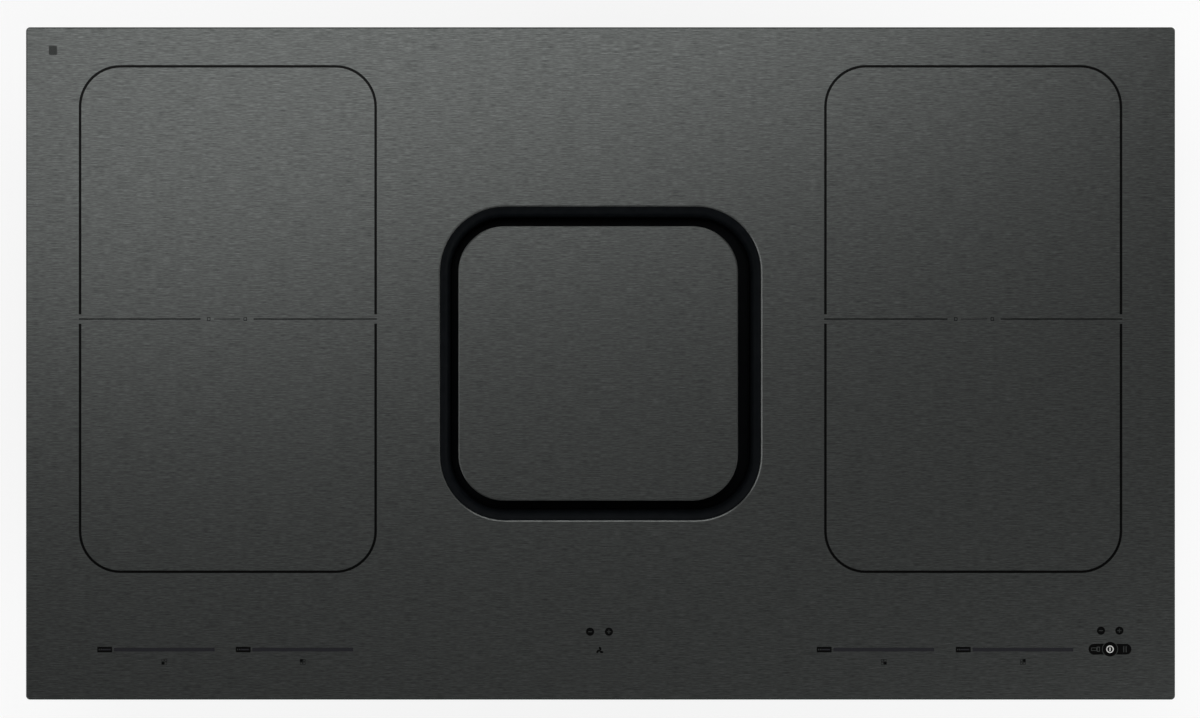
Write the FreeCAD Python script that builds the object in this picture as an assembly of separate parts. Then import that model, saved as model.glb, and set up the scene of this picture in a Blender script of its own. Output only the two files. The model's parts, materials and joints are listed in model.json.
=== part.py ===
import FreeCAD, Part

# A built-in induction cooktop that draws the cooking fumes down through the middle of its glass.
# Millimetres. +X is to the cook's right, +Y to the back, +Z up. The origin is under the middle of
# the glass, at the level of the fan casing's feet, which is the lowest point of the whole object.
# An outline is a rounded rectangle, written as half width, half depth and corner radius. Left-hand
# and right-hand pieces are built by one function each, with side -1 for the left and 1 for the right.

import math
import os

SIDES = (-1, 1)

# ---------------------------------------------------------------- driving dimensions

GLASS = (440.0, 257.5, 3.0)
GLASS_TOP = 198.0                  # height of the glass surface above the feet
GLASS_THICKNESS = 4.0
EDGE_BEVEL = 1.0                   # ground bevel on the glass edges
SEAL_THICKNESS = 2.0               # foam tape between the glass and the worktop
CUTOUT = (430.0, 245.0)            # half sizes of the hole that the worktop needs

OPENING = (124.0, 121.2, 51.0)     # hole in the glass, at its top edge
COVER = (107.05, 105.05, 35.0)     # loose plate over the intake
COVER_SHIFT = -1.8                 # the plate lies this far left of the middle
INTAKE_WIDTH = 9.0                 # how far the rounded intake runs in from the hole

TRAY_FLOOR = 134.0                 # underside of the two electronics trays
TRAY_INNER = 150.0                 # side of a tray next to the fan
TRAY_OUTER = 412.0                 # side of a tray next to the worktop
TRAY_HALF_DEPTH = 234.0
TRAY_LEG_Y = (-150.0, 34.0, 215.0) # legs of a coil plate along each tray
CHANNEL_FLOOR = 160.0              # underside of the two channels between the trays
CHANNEL_NEAR = 138.0               # side of a channel next to the intake
SHEET = 1.0                        # thickness of the folded steel
HEM = 9.0                          # flange that carries the glass

FILTER_SEAT = 166.0                # height of the ledge that the grease filter hangs on
FILTER_BOTTOM = 120.5
CHAMBER_FLOOR = 96.0
CHAMBER_EARS = (70.0, 151.0)       # screws that hang the chamber under the channels
EYE_OPENING = 66.0                 # hole in the chamber's floor, over the fan
MOULDING = 2.5                     # wall of the large plastic mouldings

FAN_X = -22.0                      # fan axis
FAN_Y = -20.0
WHEEL_RADIUS = 90.0
EYE_RADIUS = 64.0
EYE_SCREWS = 79.0                  # radius of the ring of screws round the eye
SCROLL_WALL = 3.0
SCROLL_RADIUS = 128.0              # last and largest arc of the fan casing's spiral
SCROLL_STEP = 14.0                 # growth of the spiral's radius in each quarter turn
TONGUE_ANGLE = 128.0               # where the spiral starts, from the cook's right
SCROLL_FLOOR = 7.0
SCROLL_TOP = 94.0
LID = 3.0                          # thickness of the casing's lid
DUCT_WIDTH = 222.0                 # outer size of a standard flat duct
DUCT_HEIGHT = 89.0
DUCT_END = 243.0                   # how far back the outlet reaches
FLANGE_Y = 205.0
BORDER = 11.0                      # width of the outlet flange beside the duct
DUCT_SCREW_Z = (16.0, 78.0)

MOTOR_FOOT = 9.0
MOTOR_PLATE = 3.0
BUSH_CIRCLE = 53.0                 # radius of the ring of three rubber bushes
BEARING = (8.0, 5.0)               # outer radius and width
BEARING_Z = (13.0, 34.0)
SHAFT_RADIUS = 4.0
CUP_RADIUS = 40.0
CUP_TOP = 44.0

ZONE_X = 285.35                    # middle of each pair of cooking zones
ZONE_Y = 33.9
COIL_PITCH = 193.5                 # distance between the two coils of a pair
COIL = (105.0, 88.0, 78.0)         # outline of a coil winding
COIL_PLATE = 176.0
COIL_PLATE_THICKNESS = 1.5
COIL_SENSOR_HOLE = 9.0
FERRITE = 3.5                      # thickness of the ferrite bars
FORMER = 3.0                       # thickness of the plate under a winding
WINDING = 4.5                      # thickness of a winding

BLOWER = (344.0, -122.0)           # electronics blower on each side
BLOWER_HEIGHT = 32.0
TOUCH_Y = -219.5                   # middle line of the touch boards

TERMINAL = (-285.0, 199.0)         # cable passage between the connection box and the left tray
TERMINAL_HALF_X = 45.0
TERMINAL_FRONT = 170.0
TERMINAL_BACK = 228.0
TERMINAL_RIM = 106.0               # lower edge of the connection box
HINGE_Y = 164.0
HINGE_Z = 104.8
HINGE_PIN = 1.4
CABLE_RADIUS = 6.5                 # bore of the cable gland
CABLE_X = TERMINAL[0] + 18.0
CABLE_Z = 119.0

CLAMP_Y = (-140.0, 165.0)          # worktop clamps along each side
CLAMP_X = TRAY_OUTER + 8.5
CLAMP_Z = 140.6                    # underside of the swinging arms
CLAMP_REACH = 38.0
PIVOT_RADIUS = 2.5
JACK_RADIUS = 2.0
ARM_HALF_WIDTH = 6.3
ARM_THICKNESS = 2.0

CASING_SCREW = 1.6                 # radius of the screws that cut their thread in plastic
CHASSIS_SCREW = 1.75               # radius of the screws through the steel sheets
FIT = 0.05                         # radial play of each pin in its hole
LIFT_GAP = 0.3                     # play under each piece that lifts out
RIB = 1.25                         # half thickness of a moulded rib
SINK = 0.1                         # how far a piece's features run into each other
PAST = 1.0                         # how far a hole's tool runs past the faces it opens

# ---------------------------------------------------------------- levels and outlines that follow

GLASS_BOTTOM = GLASS_TOP - GLASS_THICKNESS
WORKTOP = GLASS_BOTTOM - SEAL_THICKNESS
FLOOR_TOP = TRAY_FLOOR + SHEET
TRAY_PADS = CHAMBER_FLOOR + MOULDING + 3.0
RIM_TOP = FILTER_SEAT + LIFT_GAP + 3.0
SCROLL_RIM = SCROLL_TOP - LID
UNDER_FLOOR = SCROLL_FLOOR - 3.0   # underside of the fan casing's floor, between its ribs
AIR_HALF_WIDTH = DUCT_WIDTH / 2 - MOULDING
FORMER_Z = COIL_PLATE + COIL_PLATE_THICKNESS + FERRITE
WINDING_Z = FORMER_Z + FORMER


def inset(outline, distance):
    """A rounded rectangle drawn a constant distance inside another one."""
    half_x, half_y, radius = outline
    return (half_x - distance, half_y - distance, max(radius - distance, 0.5))


LIP = inset(OPENING, EDGE_BEVEL + 0.3)
THROAT = inset(OPENING, INTAKE_WIDTH)
LEDGE = inset(THROAT, 9.0)
BASKET = inset(LEDGE, 2.0)
CHAMBER = inset(THROAT, -17.0)


# ---------------------------------------------------------------- small tools

def vector(x, y, z=0.0):
    return FreeCAD.Vector(x, y, z)


def box(x0, x1, y0, y1, z0, z1):
    low = (min(x0, x1), min(y0, y1), min(z0, z1))
    size = (abs(x1 - x0), abs(y1 - y0), abs(z1 - z0))
    return Part.makeBox(*size, vector(*low))


def block(x, y, half_x, half_y, z0, z1):
    """A box that stands about a point."""
    return box(x - half_x, x + half_x, y - half_y, y + half_y, z0, z1)


def rod(x, y, radius, z0, z1):
    return Part.makeCylinder(radius, z1 - z0, vector(x, y, z0))


def rod_back(x, y, z, radius, length):
    """A rod that runs to the back from a point."""
    return Part.makeCylinder(radius, length, vector(x, y, z), vector(0, 1, 0))


def rod_right(x, y, z, radius, length):
    """A rod that runs to the right from a point."""
    return Part.makeCylinder(radius, length, vector(x, y, z), vector(1, 0, 0))


def tube(x, y, outer, inner, z0, z1):
    return rod(x, y, outer, z0, z1).cut(rod(x, y, inner, z0, z1))


def rounded_face(outline, z, centre=(0.0, 0.0)):
    half_x, half_y, radius = outline
    corners = [(1, 1, 0), (-1, 1, 90), (-1, -1, 180), (1, -1, 270)]
    arcs = []
    for side_x, side_y, start in corners:
        middle = vector(centre[0] + side_x * (half_x - radius), centre[1] + side_y * (half_y - radius), z)
        arcs.append([at_angle(middle, radius, start + turn) for turn in (0, 45, 90)])
    edges = []
    for index, points in enumerate(arcs):
        edges.append(Part.Arc(*points).toShape())
        following = arcs[(index + 1) % 4][0]
        if (following - points[2]).Length > 1e-6:
            edges.append(Part.LineSegment(points[2], following).toShape())
    return Part.Face(Part.Wire(edges))


def at_angle(centre, radius, degrees, z=0.0):
    angle = math.radians(degrees)
    return centre + vector(radius * math.cos(angle), radius * math.sin(angle), z)


def slab(outline, z0, z1, centre=(0.0, 0.0)):
    return rounded_face(outline, z0, centre).extrude(vector(0, 0, z1 - z0))


def slot(x, y, half_length, half_width, z0, z1):
    """A tool for a long hole with round ends, along X."""
    return slab((half_length, half_width, half_width - 0.01), z0, z1, (x, y))


def frame(outer, inner, z0, z1, centre=(0.0, 0.0)):
    return slab(outer, z0, z1, centre).cut(slab(inner, z0, z1, centre))


def fuse(shapes):
    shapes = list(shapes)
    whole = shapes[0].multiFuse(shapes[1:]) if len(shapes) > 1 else shapes[0]
    return whole.removeSplitter()


def cut(shape, tools):
    return shape.cut(Part.makeCompound(list(tools)))


def edges_at(shape, z):
    """The edges that lie flat at one height."""
    return [edge for edge in shape.Edges if edge.BoundBox.ZMin > z - 1e-4 and edge.BoundBox.ZMax < z + 1e-4]


def turned(shape, angle, x=FAN_X, y=FAN_Y):
    copy = shape.copy()
    copy.rotate(vector(x, y), vector(0, 0, 1), angle)
    return copy


def ring_of(shape, count, x=FAN_X, y=FAN_Y):
    """Copies of a shape, evenly turned about an upright axis."""
    return [turned(shape, step * 360.0 / count, x, y) for step in range(count)]


# ---------------------------------------------------------------- glass, seal and cover

def glass_top():
    plate = slab(GLASS, GLASS_BOTTOM, GLASS_TOP)
    hole = slab(inset(OPENING, EDGE_BEVEL), GLASS_BOTTOM, GLASS_TOP)
    plate = plate.cut(hole)
    return plate.makeChamfer(EDGE_BEVEL, edges_at(plate, GLASS_TOP))


def worktop_seal():
    """Four strips of foam tape, butted at the corners, between the glass rim and the worktop."""
    setback = 1.0
    outer_x, outer_y = GLASS[0] - setback, GLASS[1] - setback
    inner_x, inner_y = CUTOUT[0] + 1.5 * setback, CUTOUT[1] + 1.5 * setback
    strips = []
    for side in SIDES:
        strips.append(box(side * inner_x, side * outer_x, -outer_y, outer_y, WORKTOP, GLASS_BOTTOM))
        strips.append(box(-inner_x, inner_x, side * inner_y, side * outer_y, WORKTOP, GLASS_BOTTOM))
    return Part.makeCompound(strips)


def cover_plate():
    plate = slab(COVER, GLASS_BOTTOM, GLASS_TOP, (COVER_SHIFT, 0))
    return plate.makeChamfer(EDGE_BEVEL, edges_at(plate, GLASS_TOP))


def cover_carrier():
    """Moulding under the cover plate: a rounded skirt that guides the air, with four feet and ribs."""
    skirt_bottom = GLASS_BOTTOM - 8.0
    skirt_width = 10.0
    skirt_rounding = 6.0
    outline = inset(COVER, 4.0)
    centre = (COVER_SHIFT, 0)
    dish = slab(outline, skirt_bottom, GLASS_BOTTOM, centre)
    dish = dish.makeFillet(skirt_rounding, edges_at(dish, skirt_bottom))
    dish = dish.cut(slab(inset(outline, skirt_width), skirt_bottom, GLASS_BOTTOM - MOULDING, centre))
    pieces = [dish]
    foot = (3.0, 9.0)
    foot_x, foot_y = outline[0] - foot[0] - 0.5, 62.0
    for side_x in SIDES:
        for side_y in SIDES:
            pieces.append(block(COVER_SHIFT + side_x * foot_x, side_y * foot_y, *foot,
                                RIM_TOP + LIFT_GAP, GLASS_BOTTOM - foot[0]))
    rib_z = (skirt_bottom + 1.0, GLASS_BOTTOM - MOULDING)
    rib_x, rib_y = outline[0] - skirt_width + 0.45, outline[1] - skirt_width + 0.45
    for step in (-45.0, 0.0, 45.0):
        pieces.append(block(COVER_SHIFT + step, 0, 1.0, rib_y, *rib_z))
        pieces.append(block(COVER_SHIFT, step, rib_x, 1.0, *rib_z))
    return fuse(pieces)


# ---------------------------------------------------------------- intake, filter and spill tray

def intake_collar():
    """Ring bonded under the glass: a rounded lip, a straight throat and the ledge of the filter."""
    lip_top = GLASS_TOP - 1.5
    lip_bottom = GLASS_BOTTOM - 6.0
    ledge_bottom = FILTER_SEAT - 3.0
    outside = inset(THROAT, -3.0)
    lip = frame(LIP, THROAT, lip_bottom, lip_top)
    inner_edges = []
    for edge in edges_at(lip, lip_top):
        points = [vertex.Point for vertex in edge.Vertexes]
        if all(abs(p.x) < THROAT[0] + SINK and abs(p.y) < THROAT[1] + SINK for p in points):
            inner_edges.append(edge)
    lip = lip.makeFillet(LIP[0] - THROAT[0] - 0.5, inner_edges)
    flange = frame(inset(LIP, -12.0), inset(LIP, 1.0), GLASS_BOTTOM - 3.5, GLASS_BOTTOM)
    throat = frame(outside, THROAT, ledge_bottom, lip_bottom + 0.5)
    ledge = frame(outside, LEDGE, ledge_bottom, FILTER_SEAT)
    return fuse([lip, flange, throat, ledge])


def filter_frame():
    """Rim that hangs on the ledge, corner posts and a bottom ring, with two finger tabs."""
    bar = 2.5
    ring_width = 7.0
    ring_top = FILTER_BOTTOM + 4.0
    post_top = FILTER_SEAT - 5.0
    rim = frame(inset(THROAT, 1.5), inset(BASKET, ring_width), FILTER_SEAT + LIFT_GAP, RIM_TOP)
    ring = frame(BASKET, inset(BASKET, ring_width), FILTER_BOTTOM, ring_top)
    upper = frame(BASKET, inset(BASKET, bar), post_top, FILTER_SEAT + LIFT_GAP)
    posts = frame(BASKET, inset(BASKET, bar), ring_top, post_top)
    straight_x, straight_y = BASKET[0] - BASKET[2], BASKET[1] - BASKET[2]
    posts = cut(posts, [block(0, 0, straight_x, OPENING[1], FILTER_BOTTOM, FILTER_SEAT),
                        block(0, 0, OPENING[0], straight_y, FILTER_BOTTOM, FILTER_SEAT)])
    extras = []
    mullion = 4.0
    tab = (16.0, 6.5)
    for side in SIDES:
        front, edge = side * (BASKET[1] - bar), side * (BASKET[0] - bar)
        extras.append(box(-mullion, mullion, front, side * BASKET[1], ring_top, post_top))
        extras.append(box(edge, side * BASKET[0], -mullion, mullion, ring_top, post_top))
        tab_y = side * (BASKET[1] - ring_width - 6.0)
        extras.append(block(0, tab_y, *tab, RIM_TOP - 3.0, RIM_TOP - 1.0))
    return fuse([rim, ring, upper, posts, *extras])


def filter_mesh():
    """Perforated steel basket inside the frame, its four sides and floor in one sheet."""
    wall = 1.0
    outline = inset(BASKET, 2.6)
    low = FILTER_BOTTOM + 4.0
    shell = slab(outline, low, FILTER_SEAT)
    shell = shell.cut(slab(inset(outline, wall), low + wall, FILTER_SEAT))
    half_slot, slot_pitch = 3.0, 9.0
    slot_low, slot_high = low + 6.0, FILTER_SEAT - 8.0
    slots = []
    for index in range(-7, 8):
        along = index * slot_pitch
        if index != 0:
            slots.append(block(along, 0, half_slot, OPENING[1], slot_low, slot_high))
            slots.append(block(0, along, OPENING[0], half_slot, slot_low, slot_high))
    floor_pitch, floor_x, floor_half = 10.0, 46.0, 36.0
    levels = (low - PAST, low + wall + PAST)
    for row in range(-8, 9):
        for side in SIDES:
            slots.append(slot(side * floor_x, row * floor_pitch, floor_half, half_slot, *levels))
    return cut(shell, slots)


def overflow_tray():
    """Shallow removable tray under the filter, with a raised ring round the fan's eye."""
    wall = 2.0
    depth = 16.0
    low = TRAY_PADS + LIFT_GAP
    rim = low + depth + 1.0
    outline = inset(BASKET, 0.5)
    ring_inner = EYE_OPENING + 3.0
    dish = slab(outline, low, low + depth)
    dish = dish.cut(slab(inset(outline, wall), low + wall, low + depth))
    ring = rod(FAN_X, FAN_Y, ring_inner + 2.5, low, rim)
    pull_x, pull = 86.0, (8.0, 10.0)
    handle = block(pull_x, 0, *pull, low, rim)
    handle = handle.cut(block(pull_x, 0, pull[0] - wall, pull[1] - wall, low + wall, rim - 3.0))
    handle = handle.cut(block(pull_x, 0, 2 * pull[0], pull[1] - 2 * wall, low + 2 * wall, rim - 3.0))
    whole = fuse([dish, ring, handle])
    return whole.cut(rod(FAN_X, FAN_Y, ring_inner, low - PAST, rim + PAST))


def ear_points():
    return [(side_x * CHAMBER_EARS[0], side_y * CHAMBER_EARS[1]) for side_x in SIDES for side_y in SIDES]


def eye_screw_points():
    """Places of the four screws that join the chamber to the fan casing."""
    reach = EYE_SCREWS * math.sqrt(0.5)
    return [(FAN_X + side_x * reach, FAN_Y + side_y * reach) for side_x in SIDES for side_y in SIDES]


def chamber_ears():
    """Four ears on gussets, screwed under the channels."""
    half_ear, gusset, gusset_x = 12.0, 1.5, 10.5
    ear_low = CHANNEL_FLOOR - 3.0
    ears = []
    for x, y in ear_points():
        side = 1 if y > 0 else -1
        wall = side * (CHAMBER[1] - 1.0)
        ears.append(box(x - half_ear, x + half_ear, wall, y + side * 7.0, ear_low, CHANNEL_FLOOR))
        for edge in (x - gusset_x, x + gusset_x):
            ears.append(box(edge - gusset, edge + gusset, wall, y - side * 1.0, ear_low - 15.0, ear_low))
    return ears


def chamber_ribs():
    """Upright ribs outside the left, right and front walls."""
    proud = 3.0
    ribs = []
    for offset in (-60.0, -30.0, 0.0, 30.0, 60.0):
        for side in SIDES:
            wall = side * CHAMBER[0]
            ribs.append(box(wall - side * 1.0, wall + side * proud, offset - RIB, offset + RIB,
                            CHAMBER_FLOOR, TRAY_FLOOR - 4.0))
        ribs.append(box(offset - RIB, offset + RIB, -CHAMBER[1] - proud, -CHAMBER[1] + 1.0,
                        CHAMBER_FLOOR, TRAY_FLOOR + 8.0))
    return ribs


def inlet_chamber():
    """Deep plastic box that hangs below the glass and carries the fumes to the fan."""
    floor_top = CHAMBER_FLOOR + MOULDING
    shell = frame(CHAMBER, inset(CHAMBER, MOULDING), CHAMBER_FLOOR, GLASS_BOTTOM - 3.5)
    floor = slab(CHAMBER, CHAMBER_FLOOR, floor_top)
    pad_x, pad_y, half_pad = 88.0, 86.0, 5.0
    pads = []
    for side_x in SIDES:
        for side_y in SIDES:
            pads.append(block(side_x * pad_x, side_y * pad_y, half_pad, half_pad, CHAMBER_FLOOR, TRAY_PADS))
    body = fuse([shell, floor, *chamber_ears(), *chamber_ribs(), *pads])
    holes = [rod(FAN_X, FAN_Y, EYE_OPENING, CHAMBER_FLOOR - PAST, floor_top + PAST)]
    for x, y in eye_screw_points():
        holes.append(rod(x, y, CASING_SCREW, CHAMBER_FLOOR - PAST, floor_top + PAST))
    for x, y in ear_points():
        holes.append(rod(x, y, CHASSIS_SCREW + 0.35, CHANNEL_FLOOR - 4.0, CHANNEL_FLOOR + PAST))
    return cut(body, holes)


def chamber_gasket():
    """Foam ring between the chamber's floor and the fan casing."""
    ring = tube(FAN_X, FAN_Y, EYE_SCREWS + 5.0, EYE_SCREWS - 6.0, SCROLL_TOP, CHAMBER_FLOOR)
    return cut(ring, [rod(x, y, CASING_SCREW, SCROLL_TOP - PAST, CHAMBER_FLOOR + PAST)
                      for x, y in eye_screw_points()])


# ---------------------------------------------------------------- fan casing

def scroll_arcs():
    """The spiral's three arcs as centre, radius, first and last angle: each is one step larger."""
    last = vector(AIR_HALF_WIDTH - SCROLL_RADIUS, FAN_Y + 8.0)
    middle = last - vector(0, SCROLL_STEP)
    first = middle - vector(SCROLL_STEP, 0)
    return [(first, SCROLL_RADIUS - 2 * SCROLL_STEP, TONGUE_ANGLE, 180),
            (middle, SCROLL_RADIUS - SCROLL_STEP, 180, 270),
            (last, SCROLL_RADIUS, 270, 360)]


def scroll_wire(z):
    """Inner outline of the fan casing: the spiral, the outlet and the rounded tongue between them."""
    edges = []
    for centre, radius, start, end in scroll_arcs():
        points = [at_angle(centre, radius, degrees, z) for degrees in (start, (start + end) / 2, end)]
        edges.append(Part.Arc(*points).toShape())
    tongue = edges[0].Vertexes[0].Point
    wall_foot = edges[-1].Vertexes[-1].Point
    nose_tip = tongue + vector(4.5, 6.5)
    nose_end = tongue + vector(1.5, 11.0)
    shoulder = vector(-AIR_HALF_WIDTH, FAN_Y + 132.0, z)
    corners = [wall_foot, vector(AIR_HALF_WIDTH, FLANGE_Y, z), vector(-AIR_HALF_WIDTH, FLANGE_Y, z),
               shoulder, nose_end]
    for start, end in zip(corners, corners[1:]):
        edges.append(Part.LineSegment(start, end).toShape())
    edges.append(Part.Arc(nose_end, nose_tip, tongue).toShape())
    return Part.Wire(edges)


def scroll_region(grow, z0, z1):
    """The fan casing's plan, grown outwards, but cut off square at the outlet flange."""
    wire = scroll_wire(z0)
    if grow > 0:
        wire = wire.makeOffset2D(grow, join=0)
    solid = Part.Face(wire).extrude(vector(0, 0, z1 - z0))
    return solid.cut(box(-GLASS[0], GLASS[0], FLANGE_Y, GLASS[1], z0 - PAST, z1 + PAST))


def screw_points():
    """Places of the screws round the fan casing, on bosses against the outside of its wall."""
    reach = SCROLL_WALL + 3.5
    points = []
    for degrees in (155, 195, 230, 262, 292, 322, 352):
        for centre, radius, start, end in scroll_arcs():
            if start <= degrees < end:
                point = at_angle(centre, radius + reach, degrees)
                points.append((point.x, point.y))
    for y in (60.0, 125.0, 183.0):
        points.append((AIR_HALF_WIDTH + reach, y))
    for y in (125.0, 183.0):
        points.append((-AIR_HALF_WIDTH - reach, y))
    return points


def duct_screws():
    return [(side * (DUCT_WIDTH / 2 + BORDER / 2), z) for side in SIDES for z in DUCT_SCREW_Z]


def bush_points():
    """Places of the three rubber bushes under the motor, the first of them behind the axis."""
    points = [at_angle(vector(FAN_X, FAN_Y), BUSH_CIRCLE, 90 + 120 * step) for step in range(3)]
    return [(point.x, point.y) for point in points]


def floor_ribs():
    """Rings, spokes and duct ribs under the casing's floor, trimmed to its plan: the feet it stands on."""
    top = UNDER_FLOOR + SINK
    ribs = []
    for radius in (60.0, 88.0):
        ribs.append(tube(FAN_X, FAN_Y, radius + RIB, radius - RIB, 0.0, top))
    spoke = box(FAN_X + 60.0, FAN_X + 200.0, FAN_Y - RIB, FAN_Y + RIB, 0.0, top)
    ribs += ring_of(spoke, 12)
    for x in (-72.0, -36.0, 0.0, 36.0, 72.0):
        ribs.append(box(x - RIB, x + RIB, 95.0, FLANGE_Y, 0.0, top))
    return fuse(ribs).common(scroll_region(0.5, 0.0, top))


def outlet_frame():
    """Thickened border of the casing where the outlet is screwed on."""
    depth = 5.0
    borders = []
    for side in SIDES:
        inner, outer = side * AIR_HALF_WIDTH, side * (DUCT_WIDTH / 2 + BORDER)
        borders.append(box(inner, outer, FLANGE_Y - depth, FLANGE_Y, 0.0, SCROLL_RIM))
    boss_length = 13.0
    for x, z in duct_screws():
        borders.append(rod_back(x, FLANGE_Y - boss_length, z, 4.0, boss_length))
    return borders


def scroll_base():
    """Lower half of the fan casing: floor, spiral wall, screw bosses and ribs underneath."""
    boss_radius, boss_low = 5.0, 12.0
    outside = scroll_region(SCROLL_WALL, 0.0, SCROLL_RIM)
    air = scroll_region(0.0, SCROLL_FLOOR, SCROLL_TOP)
    under = scroll_region(0.0, -PAST, UNDER_FLOOR)
    shell = cut(outside, [air, under])
    bosses = [rod(x, y, boss_radius, boss_low, SCROLL_RIM) for x, y in screw_points()]
    solid = fuse([shell, floor_ribs(), *bosses, *outlet_frame()])
    holes = [air]
    for x, y in screw_points():
        holes.append(rod(x, y, CASING_SCREW, SCROLL_TOP - 20.0, SCROLL_TOP))
    for x, z in duct_screws():
        holes.append(rod_back(x, FLANGE_Y - 11.0, z, CASING_SCREW, 14.0))
    for x, y in bush_points():
        holes.append(rod(x, y, 2.0, -PAST, SCROLL_FLOOR + PAST))
    return cut(solid, holes)


def scroll_cover():
    """Lid of the fan casing with the rounded eye that leads the air into the wheel."""
    eye_depth, eye_rounding = 8.0, 5.0
    half_border = DUCT_WIDTH / 2 + BORDER
    plate = scroll_region(SCROLL_WALL, SCROLL_RIM, SCROLL_TOP)
    pads = [rod(x, y, 5.0, SCROLL_RIM, SCROLL_TOP) for x, y in screw_points()]
    lip = rod(FAN_X, FAN_Y, EYE_RADIUS + 6.0, SCROLL_TOP - eye_depth, SCROLL_TOP)
    border = box(-half_border, half_border, FLANGE_Y - 5.0, FLANGE_Y, SCROLL_RIM, SCROLL_TOP)
    whole = fuse([plate, border, lip, *pads])
    holes = [rod(FAN_X, FAN_Y, EYE_RADIUS, SCROLL_TOP - eye_depth - PAST, SCROLL_TOP + PAST)]
    for x, y in screw_points() + eye_screw_points():
        holes.append(rod(x, y, CASING_SCREW, SCROLL_RIM - PAST, SCROLL_TOP + PAST))
    whole = cut(whole, holes)
    eye = [edge for edge in edges_at(whole, SCROLL_TOP)
           if abs(edge.Length - 2 * math.pi * EYE_RADIUS) < 0.01]
    return whole.makeFillet(eye_rounding, eye)


def cross_recess(x, y, reach, half_width, z0, z1):
    return [block(x, y, reach, half_width, z0, z1), block(x, y, half_width, reach, z0, z1)]


def screw_from_above(x, y, surface, length):
    """A pan-head screw with a cross recess, its head standing on a surface."""
    top = surface + 1.7
    head = rod(x, y, 3.2, surface, top)
    head = head.makeFillet(0.8, edges_at(head, top))
    whole = fuse([head, rod(x, y, CASING_SCREW, surface - length, surface)])
    return cut(whole, cross_recess(x, y, 2.0, 0.4, top - 1.0, top + PAST))


def screw_from_below(x, y, surface, length):
    """A pan-head screw with a cross recess, its head hanging under a surface."""
    bottom = surface - 2.2
    head = rod(x, y, 3.5, bottom, surface)
    head = head.makeFillet(1.0, edges_at(head, bottom))
    whole = fuse([head, rod(x, y, CHASSIS_SCREW, surface, surface + length)])
    return cut(whole, cross_recess(x, y, 2.2, 0.45, bottom - PAST, bottom + 1.2))


def casing_screws():
    """Screws of the fan casing: its lid, the chamber above it, the outlet and the motor foot."""
    lid_length, chamber_length, duct_length, motor_length = 16.0, 9.5, 14.0, 9.5
    screws = [screw_from_above(x, y, SCROLL_TOP, lid_length) for x, y in screw_points()]
    for x, y in eye_screw_points():
        screws.append(screw_from_above(x, y, CHAMBER_FLOOR + MOULDING, chamber_length))
    for x, z in duct_screws():
        screw = screw_from_above(0.0, 0.0, 0.0, duct_length)
        screw.rotate(vector(0, 0), vector(1, 0, 0), -90)
        screw.translate(vector(x, FLANGE_Y + LID, z))
        screws.append(screw)
    for x, y in bush_points():
        screws.append(screw_from_below(x, y, UNDER_FLOOR, motor_length))
    return Part.makeCompound(screws)


def finger_guard():
    """Flat grille over the fan's eye."""
    low, high = SCROLL_TOP, CHAMBER_FLOOR
    rim_outer, rim_inner = EYE_SCREWS - 7.0, 63.0
    hub, half_ring, half_spoke = 10.0, 1.2, 1.5
    parts = [tube(FAN_X, FAN_Y, rim_outer, rim_inner, low, high), rod(FAN_X, FAN_Y, hub, low, high)]
    for radius in (22.0, 36.0, 50.0):
        parts.append(tube(FAN_X, FAN_Y, radius + half_ring, radius - half_ring, low, high))
    spoke = box(FAN_X + hub - 2.0, FAN_X + rim_inner + 1.0, FAN_Y - half_spoke, FAN_Y + half_spoke, low, high)
    parts += ring_of(turned(spoke, 15), 6)
    return fuse(parts)


def duct_section(grow, radius, y0, y1):
    """A length of the flat duct's outline, grown outwards or shrunk by a wall."""
    middle = (SCROLL_FLOOR + SCROLL_RIM) / 2
    face = rounded_face((DUCT_WIDTH / 2 + grow, DUCT_HEIGHT / 2 + grow, radius), 0.0)
    face.rotate(vector(0, 0), vector(1, 0, 0), 90)
    face.translate(vector(0, y1, middle))
    return face.extrude(vector(0, y0 - y1, 0))


def outlet_spigot():
    """Flat duct connector screwed to the back of the fan casing."""
    corner = 6.0
    plate_back = FLANGE_Y + LID
    half_flange = DUCT_WIDTH / 2 + BORDER
    body = duct_section(0.0, corner, FLANGE_Y, DUCT_END)
    flange = box(-half_flange, half_flange, FLANGE_Y, plate_back, 0.0, SCROLL_TOP + 2.5)
    bead = duct_section(1.0, corner + 1.0, DUCT_END - 11.0, DUCT_END - 8.0)
    stop = duct_section(2.0, corner + 2.0, plate_back, plate_back + 3.0)
    holes = [duct_section(-MOULDING, corner - MOULDING, FLANGE_Y - PAST, DUCT_END + PAST)]
    for x, z in duct_screws():
        holes.append(rod_back(x, FLANGE_Y - PAST, z, 2.0, 9.0))
    return cut(fuse([body, flange, bead, stop]), holes)


# ---------------------------------------------------------------- fan wheel and motor

def motor_base():
    """Motor foot with three lugs and the tube that holds both bearings."""
    foot_top = MOTOR_FOOT + MOTOR_PLATE
    tube_top = BEARING_Z[1] + BEARING[1] + 1.5
    parts = [rod(FAN_X, FAN_Y, 46.0, MOTOR_FOOT, foot_top), rod(FAN_X, FAN_Y, 11.0, MOTOR_FOOT, tube_top)]
    for x, y in bush_points():
        parts.append(rod(x, y, 8.0, MOTOR_FOOT, foot_top))
    holes = [rod(FAN_X, FAN_Y, BEARING[0], BEARING_Z[0], tube_top + PAST)]
    for x, y in bush_points():
        holes.append(rod(x, y, 2.0, MOTOR_FOOT - PAST, foot_top + PAST))
    return cut(fuse(parts), holes)


def motor_bushes():
    """Rubber bushes between the motor foot and the casing's floor."""
    return Part.makeCompound([tube(x, y, 6.5, 2.0, SCROLL_FLOOR, MOTOR_FOOT) for x, y in bush_points()])


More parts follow.
